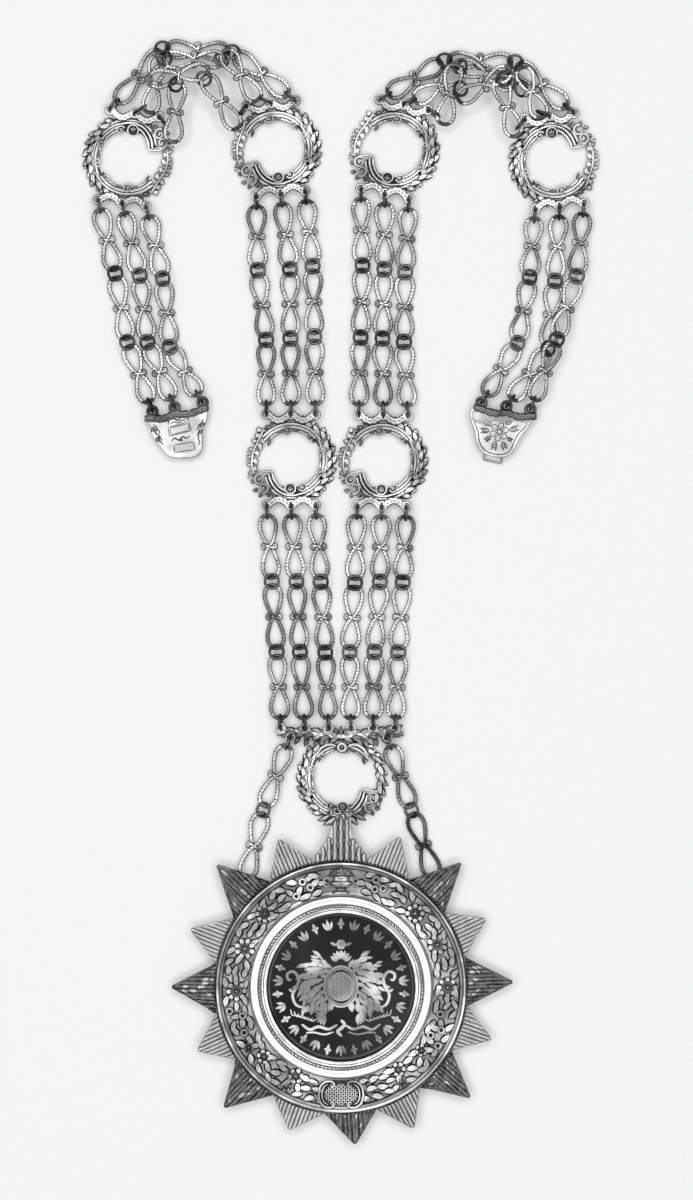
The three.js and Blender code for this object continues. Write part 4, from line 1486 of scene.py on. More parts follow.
@dataclass
class Star:
    """The sixteen ribbed rays of the badge."""

    x: float
    y: float
    bottom: float = 3.8
    top: float = 5.2
    valley: float = 53.4
    foot: float = 50.6
    hidden: float = 46.0
    rib: float = 1.62
    rays: tuple[Ray, ...] = (
        Ray(1.6, 71.8, True), Ray(25.2, 66.8, False), Ray(45.9, 72, True), Ray(68.6, 67.2, False),
        Ray(112.8, 66.8, False), Ray(135.5, 72.6, True), Ray(159, 67.2, False), Ray(180, 70.8, True),
        Ray(203.9, 65.5, False), Ray(225.9, 70.1, True), Ray(250, 63.8, False), Ray(275.1, 66, True),
        Ray(297.2, 66.4, False), Ray(319.4, 71, True), Ray(340.8, 66.4, False))

    def corners(self, ray: Ray) -> tuple[float, float]:
        """The angles of the valleys on either side of a ray."""
        index = self.rays.index(ray)
        before = self.rays[index - 1].angle - (360 if index == 0 else 0)
        after = self.rays[(index + 1) % len(self.rays)].angle
        after += 360 if index == len(self.rays) - 1 else 0
        low = (before + ray.angle) / 2 if ray.angle - before < 40 else ray.angle - 11
        high = (ray.angle + after) / 2 if after - ray.angle < 40 else ray.angle + 11
        return low - ray.angle, high - ray.angle

    def _ribs(self, draft: Draft, ray: Ray, rng: np.random.Generator) -> None:
        """The ribs of one ray, cut off along its slanting edges."""
        low, high = self.corners(ray)
        sides = [polar(low, self.valley), polar(high, self.valley)]

        def end_at(v: Array) -> Array:
            """How far out the ray reaches at a distance v from its axis."""
            slope = np.where(v < 0, v / sides[0][1], v / sides[1][1])
            edge_x = np.where(v < 0, sides[0][0], sides[1][0])
            return ray.reach + (edge_x - ray.reach) * slope

        turn = np.array(Matrix.Rotation(math.radians(ray.angle), 3, "Z"))
        theta = np.radians([0, 30, 60, 90, 120, 150, 180, 270])
        first, last = math.ceil(sides[0][1] / self.rib), math.floor(sides[1][1] / self.rib)
        for k in range(first, last + 1):
            v = k * self.rib + rng.uniform(-0.1, 0.1)
            across = v + self.rib * 0.52 * np.cos(theta)
            end = end_at(np.clip(across, sides[0][1], sides[1][1]))
            if end.min() < self.foot + 0.5:
                continue
            self._rib(draft, ray, rng, across, end, theta, turn)

    def _rib(self, draft: Draft, ray: Ray, rng: np.random.Generator, across: Array, end: Array,
             theta: Array, turn: Array) -> None:
        """One rib, worn and broken on a long ray.

        Args:
            draft: Where it goes.
            ray: The ray that it belongs to.
            rng: Chooses its wear.
            across: The section's distances from the ray's axis.
            end: How far out the rib reaches at each of them.
            theta: The section's angles.
            turn: The rotation from the ray to the star.
        """
        rows = 30 if ray.long else 16
        start = self.foot - 0.5
        t = np.linspace(0, 1, rows)[:, None]
        wear_and_light = rng.uniform(0.3 if ray.long else 0.8, 1, (rows, 1))
        wear_and_light = (wear_and_light + np.roll(wear_and_light, 1, 0)) / 2
        wear_and_light[-2:] *= np.array([[0.85], [0.4]])
        drift = np.cumsum(rng.uniform(-0.07, 0.07, (rows, 1)), 0) if ray.long else 0.0
        rings = np.empty((rows, len(theta), 3))
        rings[..., 0] = start + t * (end - start)
        rings[..., 1] = across + drift
        rings[..., 2] = self.top - 0.1 + (0.72 if ray.long else 0.55) * wear_and_light * np.maximum(np.sin(theta), -0.3)
        streak = np.zeros((rows, len(theta)), int)
        if ray.long:
            row = int(rng.integers(0, 4))
            while row < rows:
                run = int(rng.integers(1, 5))
                if rng.random() < 0.5 * (1 - row / rows) ** 1.3:
                    streak[row:row + run] = 1
                row += run + int(rng.integers(1, 4))
        draft.skin(rings @ turn.T, tones=draft.tone + streak)

    def _plate(self, draft: Draft, ray: Ray) -> None:
        """The flat back of one ray."""
        low, high = self.corners(ray)
        edge = np.array([polar(low, self.hidden), polar(low, self.valley), polar(-0.45, ray.reach),
                         polar(0.45, ray.reach), polar(high, self.valley), polar(high, self.hidden)])[:, :2]
        turn = np.array(Matrix.Rotation(math.radians(ray.angle), 2))
        draft.slab(edge @ turn.T, ((0.985, self.bottom), (1, self.bottom + 0.25), (1, self.top - 0.2),
                                   (0.985, self.top)))

    def _tab(self, draft: Draft) -> None:
        """The top ray: a flared plate with ribs, reaching under the low wreath."""
        half = [(10.8, self.hidden), (10.4, 55.4), (7.2, 60.2), (4.6, 64.6), (4, 72)]
        draft.slab(np.array(half + mirrored(-1, *reversed(half))),
                   ((0.98, self.bottom), (1, self.bottom + 0.2), (1, self.top), (0.97, self.top + 0.2)))
        rng = np.random.default_rng(3)
        bars = ((0, 71.4), (-2.5, 70.6), (2.5, 70.8), (-5, 62.6), (5, 62.2), (-7.5, 58.9), (7.5, 58.6),
                (-9.7, 56), (9.7, 56))
        for x, reach in bars:
            rows = round((reach - 50) * 1.6)
            y = np.linspace(50, reach, rows)
            wear_and_light = 1 - 0.32 * rng.random(rows) * (rng.random(rows) > 0.5)
            path = np.column_stack([x + 0.12 * np.sin(y * 1.3 + x), y, np.full(rows, self.top + 0.25)])
            draft.tube(path, 1.12 * wear_and_light * taper(rows, 0.5, 0.08), 9, flat=0.75)

    def build(self, finishes: Finishes) -> None:
        """Makes the short rays with the top one, and the long rays in the darker copy of the silver, which
        paints shade on them.
        """
        rng = np.random.default_rng(23)
        short, long = Draft(), Draft()
        self._tab(short)
        for ray in self.rays:
            part = long if ray.long else short
            self._plate(part, ray)
            self._ribs(part, ray, rng)
        for local, name, finish, nodes in ((short, "short_rays", finishes.ray, ("ray_star",)),
                                           (long, "long_rays", finishes.dark_ray, ())):
            piece = local.moved(self.x, self.y).build(name, finish, finishes.ray)
            register(piece, Slot.RAY, *nodes)


@dataclass
class FloralFrame:
    """The wide ring of flowers, leaves and berries in high relief."""

    x: float
    y: float
    base: float = 5.5
    rim: float = 49.6
    inner: float = 38.4
    daisies: tuple[tuple[float, float, float], ...] = (
        (136, 44.4, 3.9), (158, 43.4, 4.3), (182, 43.7, 4.2), (45, 43.8, 4), (24, 44.1, 4.3),
        (0, 44.5, 4.2))
    blossoms: tuple[tuple[float, float, float], ...] = (
        (222, 43.3, 3), (243, 41.6, 3.2), (241, 47.2, 2.2), (322, 42.6, 2.6), (305, 41.8, 3),
        (303, 47, 2.2), (213, 46, 2.2))
    berries: tuple[tuple[float, float], ...] = (
        (110, 47), (107, 43.8), (116, 42.4), (71, 43.4), (67, 45), (72, 47.3), (192, 47.6),
        (196, 42.7), (337, 45.5), (332, 42.4), (329, 47.2), (205, 44.6), (345, 43))

    def _ground(self, draft: Draft) -> None:
        """The turned ring: a sunk ground inside a stepped bright rim."""
        z = self.base
        draft.lathe([(50.6, z), (52.4, z), (52.4, z + 2.3), (52.1, z + 2.75), (51.6, z + 2.75),
                     (51.2, z + 2.5), (50.6, z + 2.05)])
        beads = Draft()
        beads.ball((0, 0, 0), 0.36, sides=6)
        for k in range(200):
            x, y, _ = polar(1.8 * k, 53)
            draft.add(beads, placed(x, y, z + 1.3))
        # The outer wall in the dark finish: painted shade down the frame's edge.
        draft.tone = 2
        draft.lathe([(52.3, z), (53, z), (53.3, z + 0.3), (53.3, z + 0.9), (53, z + 1.6), (52.6, z + 2.0),
                     (52.3, z + 1.9)])
        draft.tone = 1
        draft.lathe([(39.8, z), (49.5, z), (49.5, z + 0.9), (47, z + 1.1), (44, z + 1.2), (39.8, z + 1.05)])
        draft.lathe([(49.5, z), (50.6, z), (50.6, z + 2.05), (50.2, z + 1.85), (49.8, z + 1.7),
                     (49.6, z + 1.4), (49.5, z + 1.0)])
        draft.tone = 0
        draft.lathe([(38.4, z), (39.8, z), (39.8, z + 1.05), (38.9, z + 0.95), (38.7, z + 1.4),
                     (38.4, z + 1.4)])

    def _blooms(self, draft: Draft) -> None:
        """Daisies, smaller blossoms and dimpled berries."""
        # Flower cups and berry dimples take tone 2, the near-black ring finish: painted shade in the hollows.
        for angle, radius, size in self.daisies:
            x, y, _ = polar(angle, radius)
            draft.flower((x, y), size * 1.08, 8, self.base + 1.2, 1.7, angle, 2)
        for angle, radius, size in self.blossoms:
            x, y, _ = polar(angle, radius)
            draft.flower((x, y), size * 1.1, 6, self.base + 1.2, 1.6, angle, 2)
        for angle, radius in self.berries:
            x, y, _ = polar(angle, radius)
            draft.ring((x, y, self.base + 2.2), 1.25, 0.62, 30)
            draft.tone = 2
            draft.ball((x, y, self.base + 1.6), 0.7)
            draft.tone = 0

    def _foliage(self, draft: Draft) -> None:
        """Broad leaves in sprays between the blooms."""
        rng = np.random.default_rng(31)
        taken = [(a, r, s) for a, r, s in (*self.daisies, *self.blossoms)]
        taken += [(a, r, 1.6) for a, r in self.berries] + [(90, 44, 8.8), (270, 44.5, 10.8)]
        spots = np.array([[*polar(a, r)[:2], s] for a, r, s in taken])
        for ring, radius in enumerate((41, 44.3, 47.6)):
            for angle in np.arange(3.0 * ring, 360, 6.4):
                x, y, _ = polar(angle + rng.uniform(-0.8, 0.8), radius + rng.uniform(-0.4, 0.4))
                gap = np.hypot(spots[:, 0] - x, spots[:, 1] - y) / spots[:, 2]
                near = spots[np.argmin(gap)]
                if gap.min() < 0.78:
                    continue
                away = math.degrees(math.atan2(y - near[1], x - near[0]))
                turns = (0, 20, -20, 40, -40, 60, -60)
                tips = [polar(away + turn + rng.uniform(-8, 8), 5.4) for turn in turns]
                inside = [tip for tip in tips if self.inner + 0.6 < math.hypot(x + 0.75 * tip[0],
                          y + 0.75 * tip[1]) < self.rim + 0.3]
                dx, dy, _ = inside[0] if inside else polar(away + 90, 4)
                draft.leaf((x - 0.25 * dx, y - 0.25 * dy), (x + 0.75 * dx, y + 0.75 * dy),
                           rng.uniform(3.2, 4), 1, self.base + 1.1 + rng.uniform(0, 0.5),
                           rng.uniform(-0.1, 0.1), 0.25)

    def _urn(self, draft: Draft) -> None:
        """The vase of flowers at the top."""
        z = self.base + 1.6
        turned = np.array([(39.2, 3.6), (39.6, 3.8), (40, 3.2), (40.4, 2.1), (40.9, 1.8), (41.3, 2.3),
                           (41.8, 3.3), (42.5, 4.3), (43.2, 4.9), (43.8, 5), (44.2, 4.6), (44.4, 3.9),
                           (44.9, 3.5), (45.5, 3.4), (45.9, 3.8), (46.2, 3.8), (46.4, 3.4)])
        stem = np.stack([np.zeros(len(turned)), turned[:, 0], np.full(len(turned), z)], 1)
        draft.tube(stem, turned[:, 1], 28, flat=0.4)
        for x in np.linspace(-3.4, 3.4, 7):
            rise = z + 1.5 - 0.055 * x * x
            draft.tube(spline([(0.62 * x, 41.5, rise - 0.5), (0.9 * x, 42.3, rise + 0.1), (x, 43.1, rise)]),
                       0.3, 6)
        # The lines between the urn's tiers and the balls under its handles in the dark finish: painted shade.
        draft.tone = 2
        for y, half, wire in ((44.35, 3.9, 0.2), (40.6, 1.9, 0.22), (43.3, 4.6, 0.13), (45.75, 3.4, 0.13)):
            draft.tube(spline([(-half, y, z + 0.4), (0, y - 0.1, z + 0.4 * half + 0.15), (half, y, z + 0.4)]),
                       wire, 6)
        for side in (-1, 1):
            draft.ball((side * 5.9, 44.2, self.base + 0.6), 1)
        draft.tone = 0
        for side in (-1, 1):
            draft.tube(spline(mirrored(side, (4.4, 42.9, z), (6, 42.1, z + 0.2), (7.3, 43.2, z + 0.3),
                                       (7.1, 45, z + 0.3), (5.6, 45.9, z + 0.2), (4.5, 45, z + 0.1))), 0.5)
            for k, lean in enumerate((14, 40, 66, 88)):
                dx, dy, _ = polar(90 - side * lean, 3.6 + 0.4 * k)
                draft.leaf((side * 1.0, 46.6), (side * 1.0 + dx, min(46.6 + dy, 50.2)), 1.9, 1,
                           self.base + 1.8, side * 0.12, 0.3)
        draft.flower((0, 48), 2, 6, self.base + 2.2, 1.3, 90)

    def _cartouche(self, draft: Draft) -> None:
        """The latticed panel at the bottom, framed by two C-scrolls."""
        z, middle = self.base + 2.2, -44.6
        # A dark sheet under the lattice: painted shade behind it.
        draft.tone = 2
        around = np.linspace(0, FULL, 48, endpoint=False)
        draft.dome([(10.4, z - 1.1), (10.2, z - 0.7), (0.5, z - 0.55)], 48, (0, middle, 0),
                   1 / np.hypot(np.cos(around), np.sin(around) * 1.72))
        draft.tone = 0
        for lean in (1, -1):
            for offset in np.arange(-9, 9.1, 1.5):
                inside = [(x, offset + lean * 0.8 * x) for x in np.linspace(-7.4, 7.4, 30)
                          if (x / 7.4) ** 2 + ((offset + lean * 0.8 * x) / 4.5) ** 2 < 1]
                if len(inside) > 2:
                    line = np.array([(x, middle + y, z - 0.25) for x, y in inside])
                    draft.tube(line, 0.4, 6)
        for side in (-1, 1):
            curl = ((4.6, 3.7), (3.9, 3.1), (3, 3.5), (3, 4.7), (4.2, 5.4), (6.6, 5.2), (8.6, 3.3),
                    (9.3, 0), (8.6, -3.3), (6.6, -5.2), (4.4, -5.5), (3.1, -4.8), (3, -3.7),
                    (3.8, -3.2), (4.6, -3.8))
            draft.stroke([(side * x, middle + y, z + 0.25) for x, y in curl], 0.62, 9, ends=0.12, share=0.5)
            for x, y in ((4, 4), (3.9, -4.1)):
                draft.ball((side * x, middle + y, z + 0.2), 0.5)
            lining = ((5.4, 4.3), (7.2, 2.9), (7.9, 0), (7.2, -2.9), (5.4, -4.4))
            draft.stroke([(side * x, middle + y, z + 0.1) for x, y in lining], 0.34, 7, ends=0.2, share=0.4)
            for y, reach in ((3.4, 3.4), (0, 3), (-3.2, 3.2)):
                draft.leaf((side * 10.0, middle + y), (side * (10.0 + reach), middle + y + 1.2), 1.7, 1,
                           z - 0.7, side * 0.1, 0.2)

    def build(self, finishes: Finishes) -> None:
        """Makes the turned ring and the relief on it."""
        ground, relief = Draft(), Draft(edge=2)
        self._ground(ground)
        for step in (self._blooms, self._foliage, self._urn, self._cartouche):
            step(relief)
        for draft, name, nodes in ((ground, "frame_ring", ("floral_frame",)), (relief, "floral_relief", ())):
            whole = draft.moved(self.x, self.y)
            piece = whole.build(name, finishes.relief, finishes.ground, finishes.ring)
            register(piece, Slot.CAST, *nodes)


@dataclass
class InnerRings:
    """The polished band, the rope ring and the bezel."""

    x: float
    y: float
    base: float = 5.5
    rope_radius: float = 33.92
    rope_wire: float = 0.5

    def build(self, finishes: Finishes) -> None:
        """Makes the three rings."""
        z = self.base
        band = Draft()
        band.lathe([(33.4, z), (38.1, z), (38.1, z + 2.2), (37.95, z + 2.4), (37.2, z + 2.65),
                    (36.3, z + 2.85), (35.4, z + 2.7), (34.7, z + 2.45), (34.5, z + 2.2),
                    (34.45, z + 1.5), (33.4, z + 1.5)], (self.x, self.y, 0))
        register(band.build("polished_moulding", finishes.polished), Slot.POLISHED, "polished_band")
        rope = Draft()
        rope.tube(arc(self.rope_radius, 0, 359.5, z + 2.25, 0.5, (self.x, self.y)), self.rope_wire, 9,
                  closed=True, rope=Rope(2, 3.4, 0.4, 0.62))
        register(rope.build("rope_moulding", finishes.cast, finishes.ring), Slot.CHAIN, "rope_ring")
        bezel = Draft()
        bezel.lathe([(31.4, z), (33.3, z), (33.3, z + 1.6), (32.65, z + 1.7), (32.5, z + 2.0),
                     (32.15, z + 2.18), (31.7, z + 2.27), (31.3, z + 2.18), (31, z + 2.0),
                     (30.9, z + 1.5), (31.4, z + 1.4)], (self.x, self.y, 0))
        register(bezel.build("bezel_moulding", finishes.clasp), Slot.POLISHED, "bezel")


@dataclass
class Roundel:
    """The dark enamel disc with a plain decorative emblem and border."""

    x: float
    y: float
    base: float = 5.5
    radius: float = 31.2
    crown: float = 1.9
    border: float = 26.6

    def level(self, x: float, y: float) -> float:
        """The height of the enamel at a point."""
        share = min(1, math.hypot(x, y) / self.radius)
        return self.base + 1.25 + (self.crown - 1.25) * (1 - share**2)

    def _line(self, draft: Draft, points: Sequence[Point], width: float) -> None:
        """A raised stroke that follows the enamel."""
        path = spline(points, 6)
        path[:, 2] = [self.level(x, y) for x, y, _ in path]
        draft.tube(path, width * taper(len(path), 0.45, 0.3), 7, flat=0.55)

    def _leaf(self, draft: Draft, base: Point, tip: Point, width: float) -> None:
        """A low raised leaf."""
        draft.leaf(base, tip, width, 0.55, self.level(base[0], base[1]) - 0.05)

    def _emblem(self, draft: Draft) -> None:
        """An empty oval shield in a mantle of scrolls and leaves over a ribbon."""
        turn = np.linspace(0, FULL, 48, endpoint=False)
        for wide, high, wire in ((6.9, 8.4, 0.5), (5.9, 7.4, 0.3)):
            oval = np.stack([wide * np.cos(turn), 0.4 + high * np.sin(turn), np.zeros(48)], 1)
            oval[:, 2] = [self.level(x, y) for x, y, _ in oval]
            draft.tube(oval, wire, 7, closed=True, flat=0.7)
        shield = 1 + 0.13 * np.abs(np.sin(np.linspace(0, FULL, 40, endpoint=False)))
        top = self.level(0, 0)
        draft.dome([(5.6, top - 0.3), (5.4, top + 0.15), (3, top + 0.4), (0.4, top + 0.45)], 40,
                   (0, 0.4, 0), shield)
        for x, low, high in ((-3.4, -2.6, 3.6), (-1.7, -4.4, 5.2), (0, -5.2, 6), (1.7, -4.4, 5.2),
                             (3.4, -2.6, 3.6)):
            draft.stroke([(x, low, top + 0.42), (0.9 * x, 0.5 * (low + high), top + 0.48),
                          (x, high, top + 0.42)], 0.34, 6, 5, 0.3, 0.4, 0.7)
        rng = np.random.default_rng(41)
        for side in (-1, 1):
            self._mantle(draft, rng, side)
            self._tail(draft, side)
            self._ribbon(draft, side)
        for k in range(7):
            angle = 90 + 21 * (k - 3)
            x, y, _ = polar(angle, 5)
            self._leaf(draft, (0.35 * x, 10.2 + 0.35 * y), (x, 10.8 + y), 1.9)
        draft.flower((0, 18), 2.1, 6, self.level(0, 18) - 0.3, 0.8)
        for side in (-1, 1):
            self._leaf(draft, *mirrored(side, (2, 17.6), (4.6, 18.8)), 1.5)
        self._line(draft, [(0, -13.6), (1.5, -15.4), (0.2, -17), (-1.4, -18.4), (0.4, -20.4)], 0.75)

    def _mantle(self, draft: Draft, rng: np.random.Generator, side: int) -> None:
        """Leaves in three tiers beside the shield."""
        tiers = ((8, 3.6, 1.8, 17), (10, 3.8, 1.9, 18), (12, 3.6, 1.9, 18), (14, 3.6, 1.8, 16),
                 (15.8, 2.8, 1.5, 9))
        for tier, (radius, length, width, count) in enumerate(tiers):
            for k in range(count):
                angle = 90 - side * (22 + 4 * tier + (126 - 12 * tier) * k / (count - 1) + rng.uniform(-3, 3))
                tall = 1.0 + 0.12 * math.sin(2.2 * k + radius)
                base = polar(angle, radius * tall)
                tip = polar(angle - side * rng.uniform(2, 15), (radius + length) * tall)
                self._leaf(draft, base, tip, width * rng.uniform(0.8, 1.25))
        for x, y, size, start in ((9.6, 10.6, 2.6, 30), (14.6, 6.2, 2.2, 10), (15.2, -3.4, 2.2, 300)):
            eye = arc(size, 90 - side * start, 90 - side * (start - 290), 0, 20, (side * x, y))
            reach = np.linspace(1, 0.35, len(eye))[:, None]
            eye[:, :2] = np.array([side * x, y]) + (eye[:, :2] - np.array([side * x, y])) * reach
            self._line(draft, eye[::3, :2], 0.42)

    def _tail(self, draft: Draft, side: int) -> None:
        """A long S-shaped tendril at the edge."""
        self._line(draft, mirrored(side, (14, -8.6), (18.6, -7.4), (20.2, -3.2), (18.4, 0.4), (17.8, 3.8),
                                   (19.8, 6.6), (22.4, 5.6), (22, 3.2), (20.6, 3.4)), 0.62)
        self._leaf(draft, *mirrored(side, (18.6, 1.2), (16.4, 3.4)), 1.3)
        self._leaf(draft, *mirrored(side, (19.8, -2), (22, -0.6)), 1.3)

    def _ribbon(self, draft: Draft, side: int) -> None:
        """Fanned leaves and the folds of a ribbon under the shield."""
        for k in range(6):
            angle = 200 + 20 * k if side < 0 else -20 - 20 * k
            x, y, _ = polar(angle + side * 40, 4.4)
            self._leaf(draft, (side * 6.6, -11.8), (side * 6.6 + x, -11.8 + y), 1.7)
        self._line(draft, mirrored(side, (1.6, -15.6), (5.2, -17.4), (9.4, -16.4), (13, -17.6),
                                   (16.4, -15.4)), 0.62)
        self._line(draft, mirrored(side, (3, -18.6), (7, -19.6), (11.4, -18.8), (14.6, -19)), 0.42)
        for k in range(6):
            self._line(draft, mirrored(side, (10 + 1.6 * k, -13.2 + 0.3 * k),
                                       (11.8 + 1.7 * k, -14.0 + 0.5 * k),
                                       (13.6 + 1.5 * k, -13.2 + 0.8 * k)), 0.26)

    def _border(self, draft: Draft) -> None:
        """Sprigs and small crosses of leaves by turns round the edge."""
        for k in range(30):
            angle = 360 * k / 30 + 90
            if k % 2:
                for lean in (-4.4, 0, 4.4):
                    self._leaf(draft, polar(angle + lean * 0.25, self.border - 2.2),
                               polar(angle + lean, self.border + (2.5 if not lean else 1.4)), 1.4)
                continue
            x, y, _ = polar(angle, self.border)
            for m in range(4):
                dx, dy, _ = polar(angle + 90 * m, 2.5 if m % 2 == 0 else 1.6)
                self._leaf(draft, (x, y), (x + dx, y + dy), 1.4)

    def build(self, finishes: Finishes) -> None:
        """Makes the enamel disc and the silver laid on it."""
        z, r = self.base, self.radius
        disc = Draft()
        rings = [(r - 0.3, z), (r, z + 0.2), (r, z + 1.0)]
        rings += [(k, self.level(k, 0)) for k in (r - 0.25, 29, 26, 22, 17, 11, 5, 1)]
        disc.dome(rings, 160, (self.x, self.y, 0))
        register(disc.build("roundel_disc", finishes.enamel), Slot.ENAMEL, "roundel")
        emblem = Draft()
        self._emblem(emblem)
        self._border(emblem)
        register(emblem.moved(self.x, self.y).build("roundel_emblem", finishes.emblem), Slot.PLAIN)


# ---- the whole chain


@dataclass
class Chain:
    """Every strand between wreaths, bar, clasps and badge."""

    medallions: Medallions
    low: LowWreath
    middle: float = 4.7
    inner: float = 7.8
    ear_radius: float = 59.35
    # Strands made in the brighter silver, which paints highlights on them; the others take the duller copy.
    bright: tuple[str, ...] = (
        "strand_1a", "strand_1b", "strand_1c", "strand_2b", "strand_2c", "strand_5a", "strand_6c",
        "strand_7b", "strand_7c", "strand_8b", "side_chain_left")

    def _eyes(self, wreath: int, side: int) -> list[Point]:
        """The three eyes at the top (1) or the foot (-1) of a wreath, from the left."""
        return [self.medallions.eye(f"wreath_{wreath}", side, column) for column in (-1, 0, 1)]

    def strands(self) -> list[Strand]:
        """The strands that hang straight, section by section."""
        eyes = self._eyes
        bar = [(x, self.low.eyes) for x in self.low.columns]
        sections = (
            (1, Clasps.catch().places(), eyes(1, -1), (-89.6, 104.2, -94.6, 133.1),
             (-81.1, 104.2, -84.4, 132.2), (-71.7, 102.2, -74.7, 130.9)),
            (2, eyes(1, 1)[:1], eyes(2, 1)[2:], (-74.8, 227.5, -45.6, 226)),
            (3, eyes(2, -1), eyes(3, 1), (-34.9, 134.4, -31.4, 105.2), (-21.4, 134.8, -21.2, 105.8),
             (-11.9, 136.1, -11.2, 106.6)),
            (4, eyes(3, -1), bar[:3], (-29, 4, -27, -25.6), (-18.7, 4, -17.2, -25.6),
             (-8.5, 3.8, -6.6, -25.8)),
            (5, bar[3:], eyes(5, -1), (3.6, -25.8, 5.8, 3.4), (14, -25.6, 16.3, 3.8),
             (24, -25.8, 25.9, 3.6)),
            (6, eyes(5, 1), eyes(6, -1), (8.2, 106.2, 9, 136.4), (17.4, 105.8, 18.2, 134.8),
             (26.4, 104.4, 26.9, 133.6)),
            (7, eyes(6, 1)[:1], eyes(7, 1)[2:], (43.4, 222.5, 73, 221.8)),
            (8, eyes(7, -1), Clasps.plate().places(), (79, 131.5, 74, 103.8),
             (89.7, 130, 86.8, 101.6), (98.7, 131.8, 90.2, 105.2)))
        strands = []
        for number, starts, ends, *rings in sections:
            for letter, start, end, (x, y, u, v) in zip("abc", starts, ends, rings):
                strands.append(Strand(f"strand_{number}{letter}", start, (x, y), (u, v), end,
                                      -1 if letter == "c" else 1))
        last = strands[-1]
        last.first, last.second, last.end_level = (*last.first, 3), (*last.second, 4.8), 5.0
        return strands

    def loose_strands(self) -> list[LooseStrand]:
        """The middle and inner strands of the two arches."""
        one, two, six, seven = (self._eyes(wreath, 1) for wreath in (1, 2, 6, 7))
        m, n = self.middle, self.inner
        return [
            LooseStrand(
                "strand_2b",
                [((-80.3, 199.3, 5.3), (-75.8, 224.9, m)), ((-74.9, 222.2, m), (-48.2, 222.6, m)),
                 ((-49.3, 226.9, m), (-34.4, 204.6, 5.4))],
                [(-74, 222.9, m), (-50, 222.4, m)],
                [(one[1], 34), (two[1], 158)]),
            LooseStrand(
                "strand_2c",
                [((-70.5, 187, 5), (-68.1, 213.3, n)), ((-80.9, 213, n), (-54.6, 217.5, n)),
                 ((-57.2, 215.9, n), (-43, 192.9, 5))],
                [(-68.9, 211.6, n), (-57.3, 213.9, n)],
                [(one[2], -50), (two[0], 235)]),
            LooseStrand(
                "strand_7b",
                [((30.2, 205.1, 3.2), (52.2, 218.5, m)), ((48.2, 220.6, m), (73.6, 211.6, m)),
                 ((75.2, 219.6, 5), (84.4, 197.6, 5.2))],
                [(49.8, 219.7, m), (75.4, 210, m)],
                [(six[1], 26), (seven[1], 160)]),
            LooseStrand(
                "strand_7c",
                [((42.8, 194.5, 4.6), (47.9, 220.7, 7.4)), ((48.4, 204.7, 6.8), (71.2, 218.2, n)),
                 ((65.7, 215.2, n), (73.4, 189.5, 5))],
                [(50, 210, 6.5), (68.2, 213.8, n)],
                [(six[2], -32), (seven[0], 230)]),
        ]

    def _side_chain(self, maker: ChainMaker, name: str, column: float, ring: Point,
                    angle: float, badge: Array) -> Draft:
        """Two links from the bar to an ear behind the star."""
        draft = Draft()
        eye = (column, self.low.chain_eyes)
        middle = np.array([*ring, maker.level])
        heading = math.degrees(math.atan2(ring[1] - eye[1], ring[0] - eye[0]))
        start = maker.standing(draft, eye, heading)
        start[2] = maker.eye_level
        x, y, _ = polar(angle, self.ear_radius)
        end = np.array([badge[0] + x, badge[1] + y, 1.8])
        maker.add_link(draft, *maker.between_rings(start, middle), 8)
        # The right side chain's second link in the near-black ring finish: painted shade.
        draft.tone = 1 if name == "side_chain_right" else 0
        maker.add_link(draft, *maker.between_rings(middle, end), -8)
        for centre in (middle + np.array([0, 0, 0.5]), end + np.array([0, 0, 0.3])):
            maker.add_ring(draft, centre, heading, 26)
        return draft

    def _finish(self, draft: Draft, name: str, finishes: Finishes) -> None:
        """Makes one strand's piece, in the brighter or the duller copy of the silver, as painted light."""
        metal = finishes.cast if name in self.bright else finishes.chain
        piece = draft.build(f"{name}_links", metal, finishes.ring, finishes.ground)
        register(piece, Slot.CHAIN, name)

    def build(self, finishes: Finishes, badge: Array) -> None:
        """Makes every strand and the two side chains.

        Args:
            finishes: The materials.
            badge: The badge's middle.
        """
        maker = ChainMaker()
        for strand in (*self.strands(), *self.loose_strands()):
            self._finish(strand.draw(maker), strand.name, finishes)
        left, right = self.low.chain_columns
        for name, *course in (("side_chain_left", left, (-32.6, -91.8), 132.9),
                              ("side_chain_right", right, (29.6, -92), 48.2)):
            self._finish(self._side_chain(maker, name, *course, badge), name, finishes)


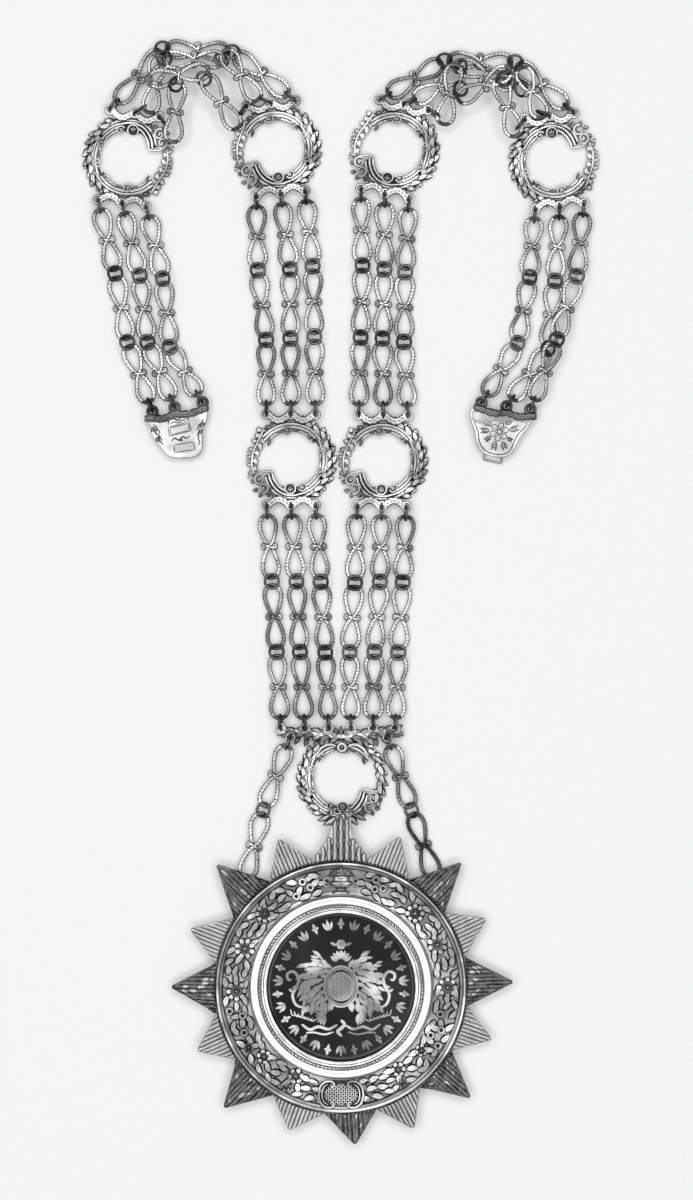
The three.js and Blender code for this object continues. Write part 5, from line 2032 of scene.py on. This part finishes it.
@dataclass
class Studio:
    """The table, the camera and the soft lights."""

    camera_height: float = 1.4
    camera_x: float = 0.0023
    camera_y: float = -0.0038
    lens: float = 100.0
    panel_length: float = 1.7
    panel_width: float = 0.6
    panel_reach: float = 1.15
    panel_height: float = 1.9
    panel_power: float = 10.6
    zenith: float = 0.56
    horizon: float = 0.14
    table_half: float = 9.0

    def build(self, finishes: Finishes) -> None:
        """Sets the scene round the object."""
        self._table(finishes)
        self._camera()
        self._lights()
        self._room()
        bpy.context.scene.view_settings.view_transform = "Standard"

    def _table(self, finishes: Finishes) -> None:
        """A wide flat table top."""
        mesh = bpy.data.meshes.new("table")
        half = self.table_half
        mesh.from_pydata([(-half, -half, 0), (half, -half, 0), (half, half, 0), (-half, half, 0)], [],
                         [(0, 1, 2, 3)])
        mesh.materials.append(finishes.table)
        table = bpy.data.objects.new("table", mesh)
        bpy.context.scene.collection.objects.link(table)

    def _camera(self) -> None:
        """A camera that looks straight down."""
        data = bpy.data.cameras.new("camera")
        data.lens = self.lens
        camera = bpy.data.objects.new("camera", data)
        camera.location = (self.camera_x, self.camera_y, self.camera_height)
        bpy.context.scene.collection.objects.link(camera)
        bpy.context.scene.camera = camera

    def _lights(self) -> None:
        """Four broad lights on all sides of the camera, aimed at the chain."""
        sides = (("left", -1, 0, 1.15), ("right", 1, 0, 0.8), ("back", 0, 1, 1.1), ("front", 0, -1, 0.95))
        for name, x, y, share in sides:
            data = bpy.data.lights.new(f"{name}_light", "AREA")
            data.shape = "RECTANGLE"
            data.size, data.size_y = self.panel_length, self.panel_width
            data.energy = self.panel_power * share
            lamp = bpy.data.objects.new(data.name, data)
            lamp.location = (x * self.panel_reach, y * self.panel_reach, self.panel_height)
            lamp.rotation_euler = (-lamp.location).to_track_quat("-Z", "Y").to_euler()
            bpy.context.scene.collection.objects.link(lamp)

    def _room(self) -> None:
        """A room that is pale overhead and dark near the table."""
        world = bpy.data.worlds.new("room")
        world.use_nodes = True
        bpy.context.scene.world = world
        room = Nodes(world.node_tree, "Background")
        direction = room.node("ShaderNodeTexCoord", output="Generated")
        height = room.node("ShaderNodeSeparateXYZ", None, {0: direction}, "Z")
        room.feed(Color=room.mix(room.between(height, 0.25, 1), grey(self.horizon), grey(self.zenith)))


def carry_over(finishes: Finishes) -> None:
    """Gives the CAD nodes that stay visible their finish."""
    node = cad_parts["back_plate"]
    node.data.materials.clear()
    node.data.materials.append(finishes.plain)
    for face in node.data.polygons:
        face.use_smooth = False
    LOG.info("back_plate: carried over")


def main() -> None:
    """Builds the chain, the badge and the scene round them."""
    logging.basicConfig(level=logging.INFO, format="%(message)s")
    finishes = Finishes()
    badge = centre_of("roundel")
    medallions, low = Medallions(), LowWreath()
    carry_over(finishes)
    medallions.build(finishes)
    low.build(finishes)
    Chain(medallions, low).build(finishes, badge)
    Clasps().build(finishes)
    Star(badge[0], badge[1]).build(finishes)
    FloralFrame(badge[0], badge[1]).build(finishes)
    InnerRings(badge[0], badge[1]).build(finishes)
    Roundel(badge[0], badge[1]).build(finishes)
    Studio().build(finishes)


if __name__ == "__main__":
    main()
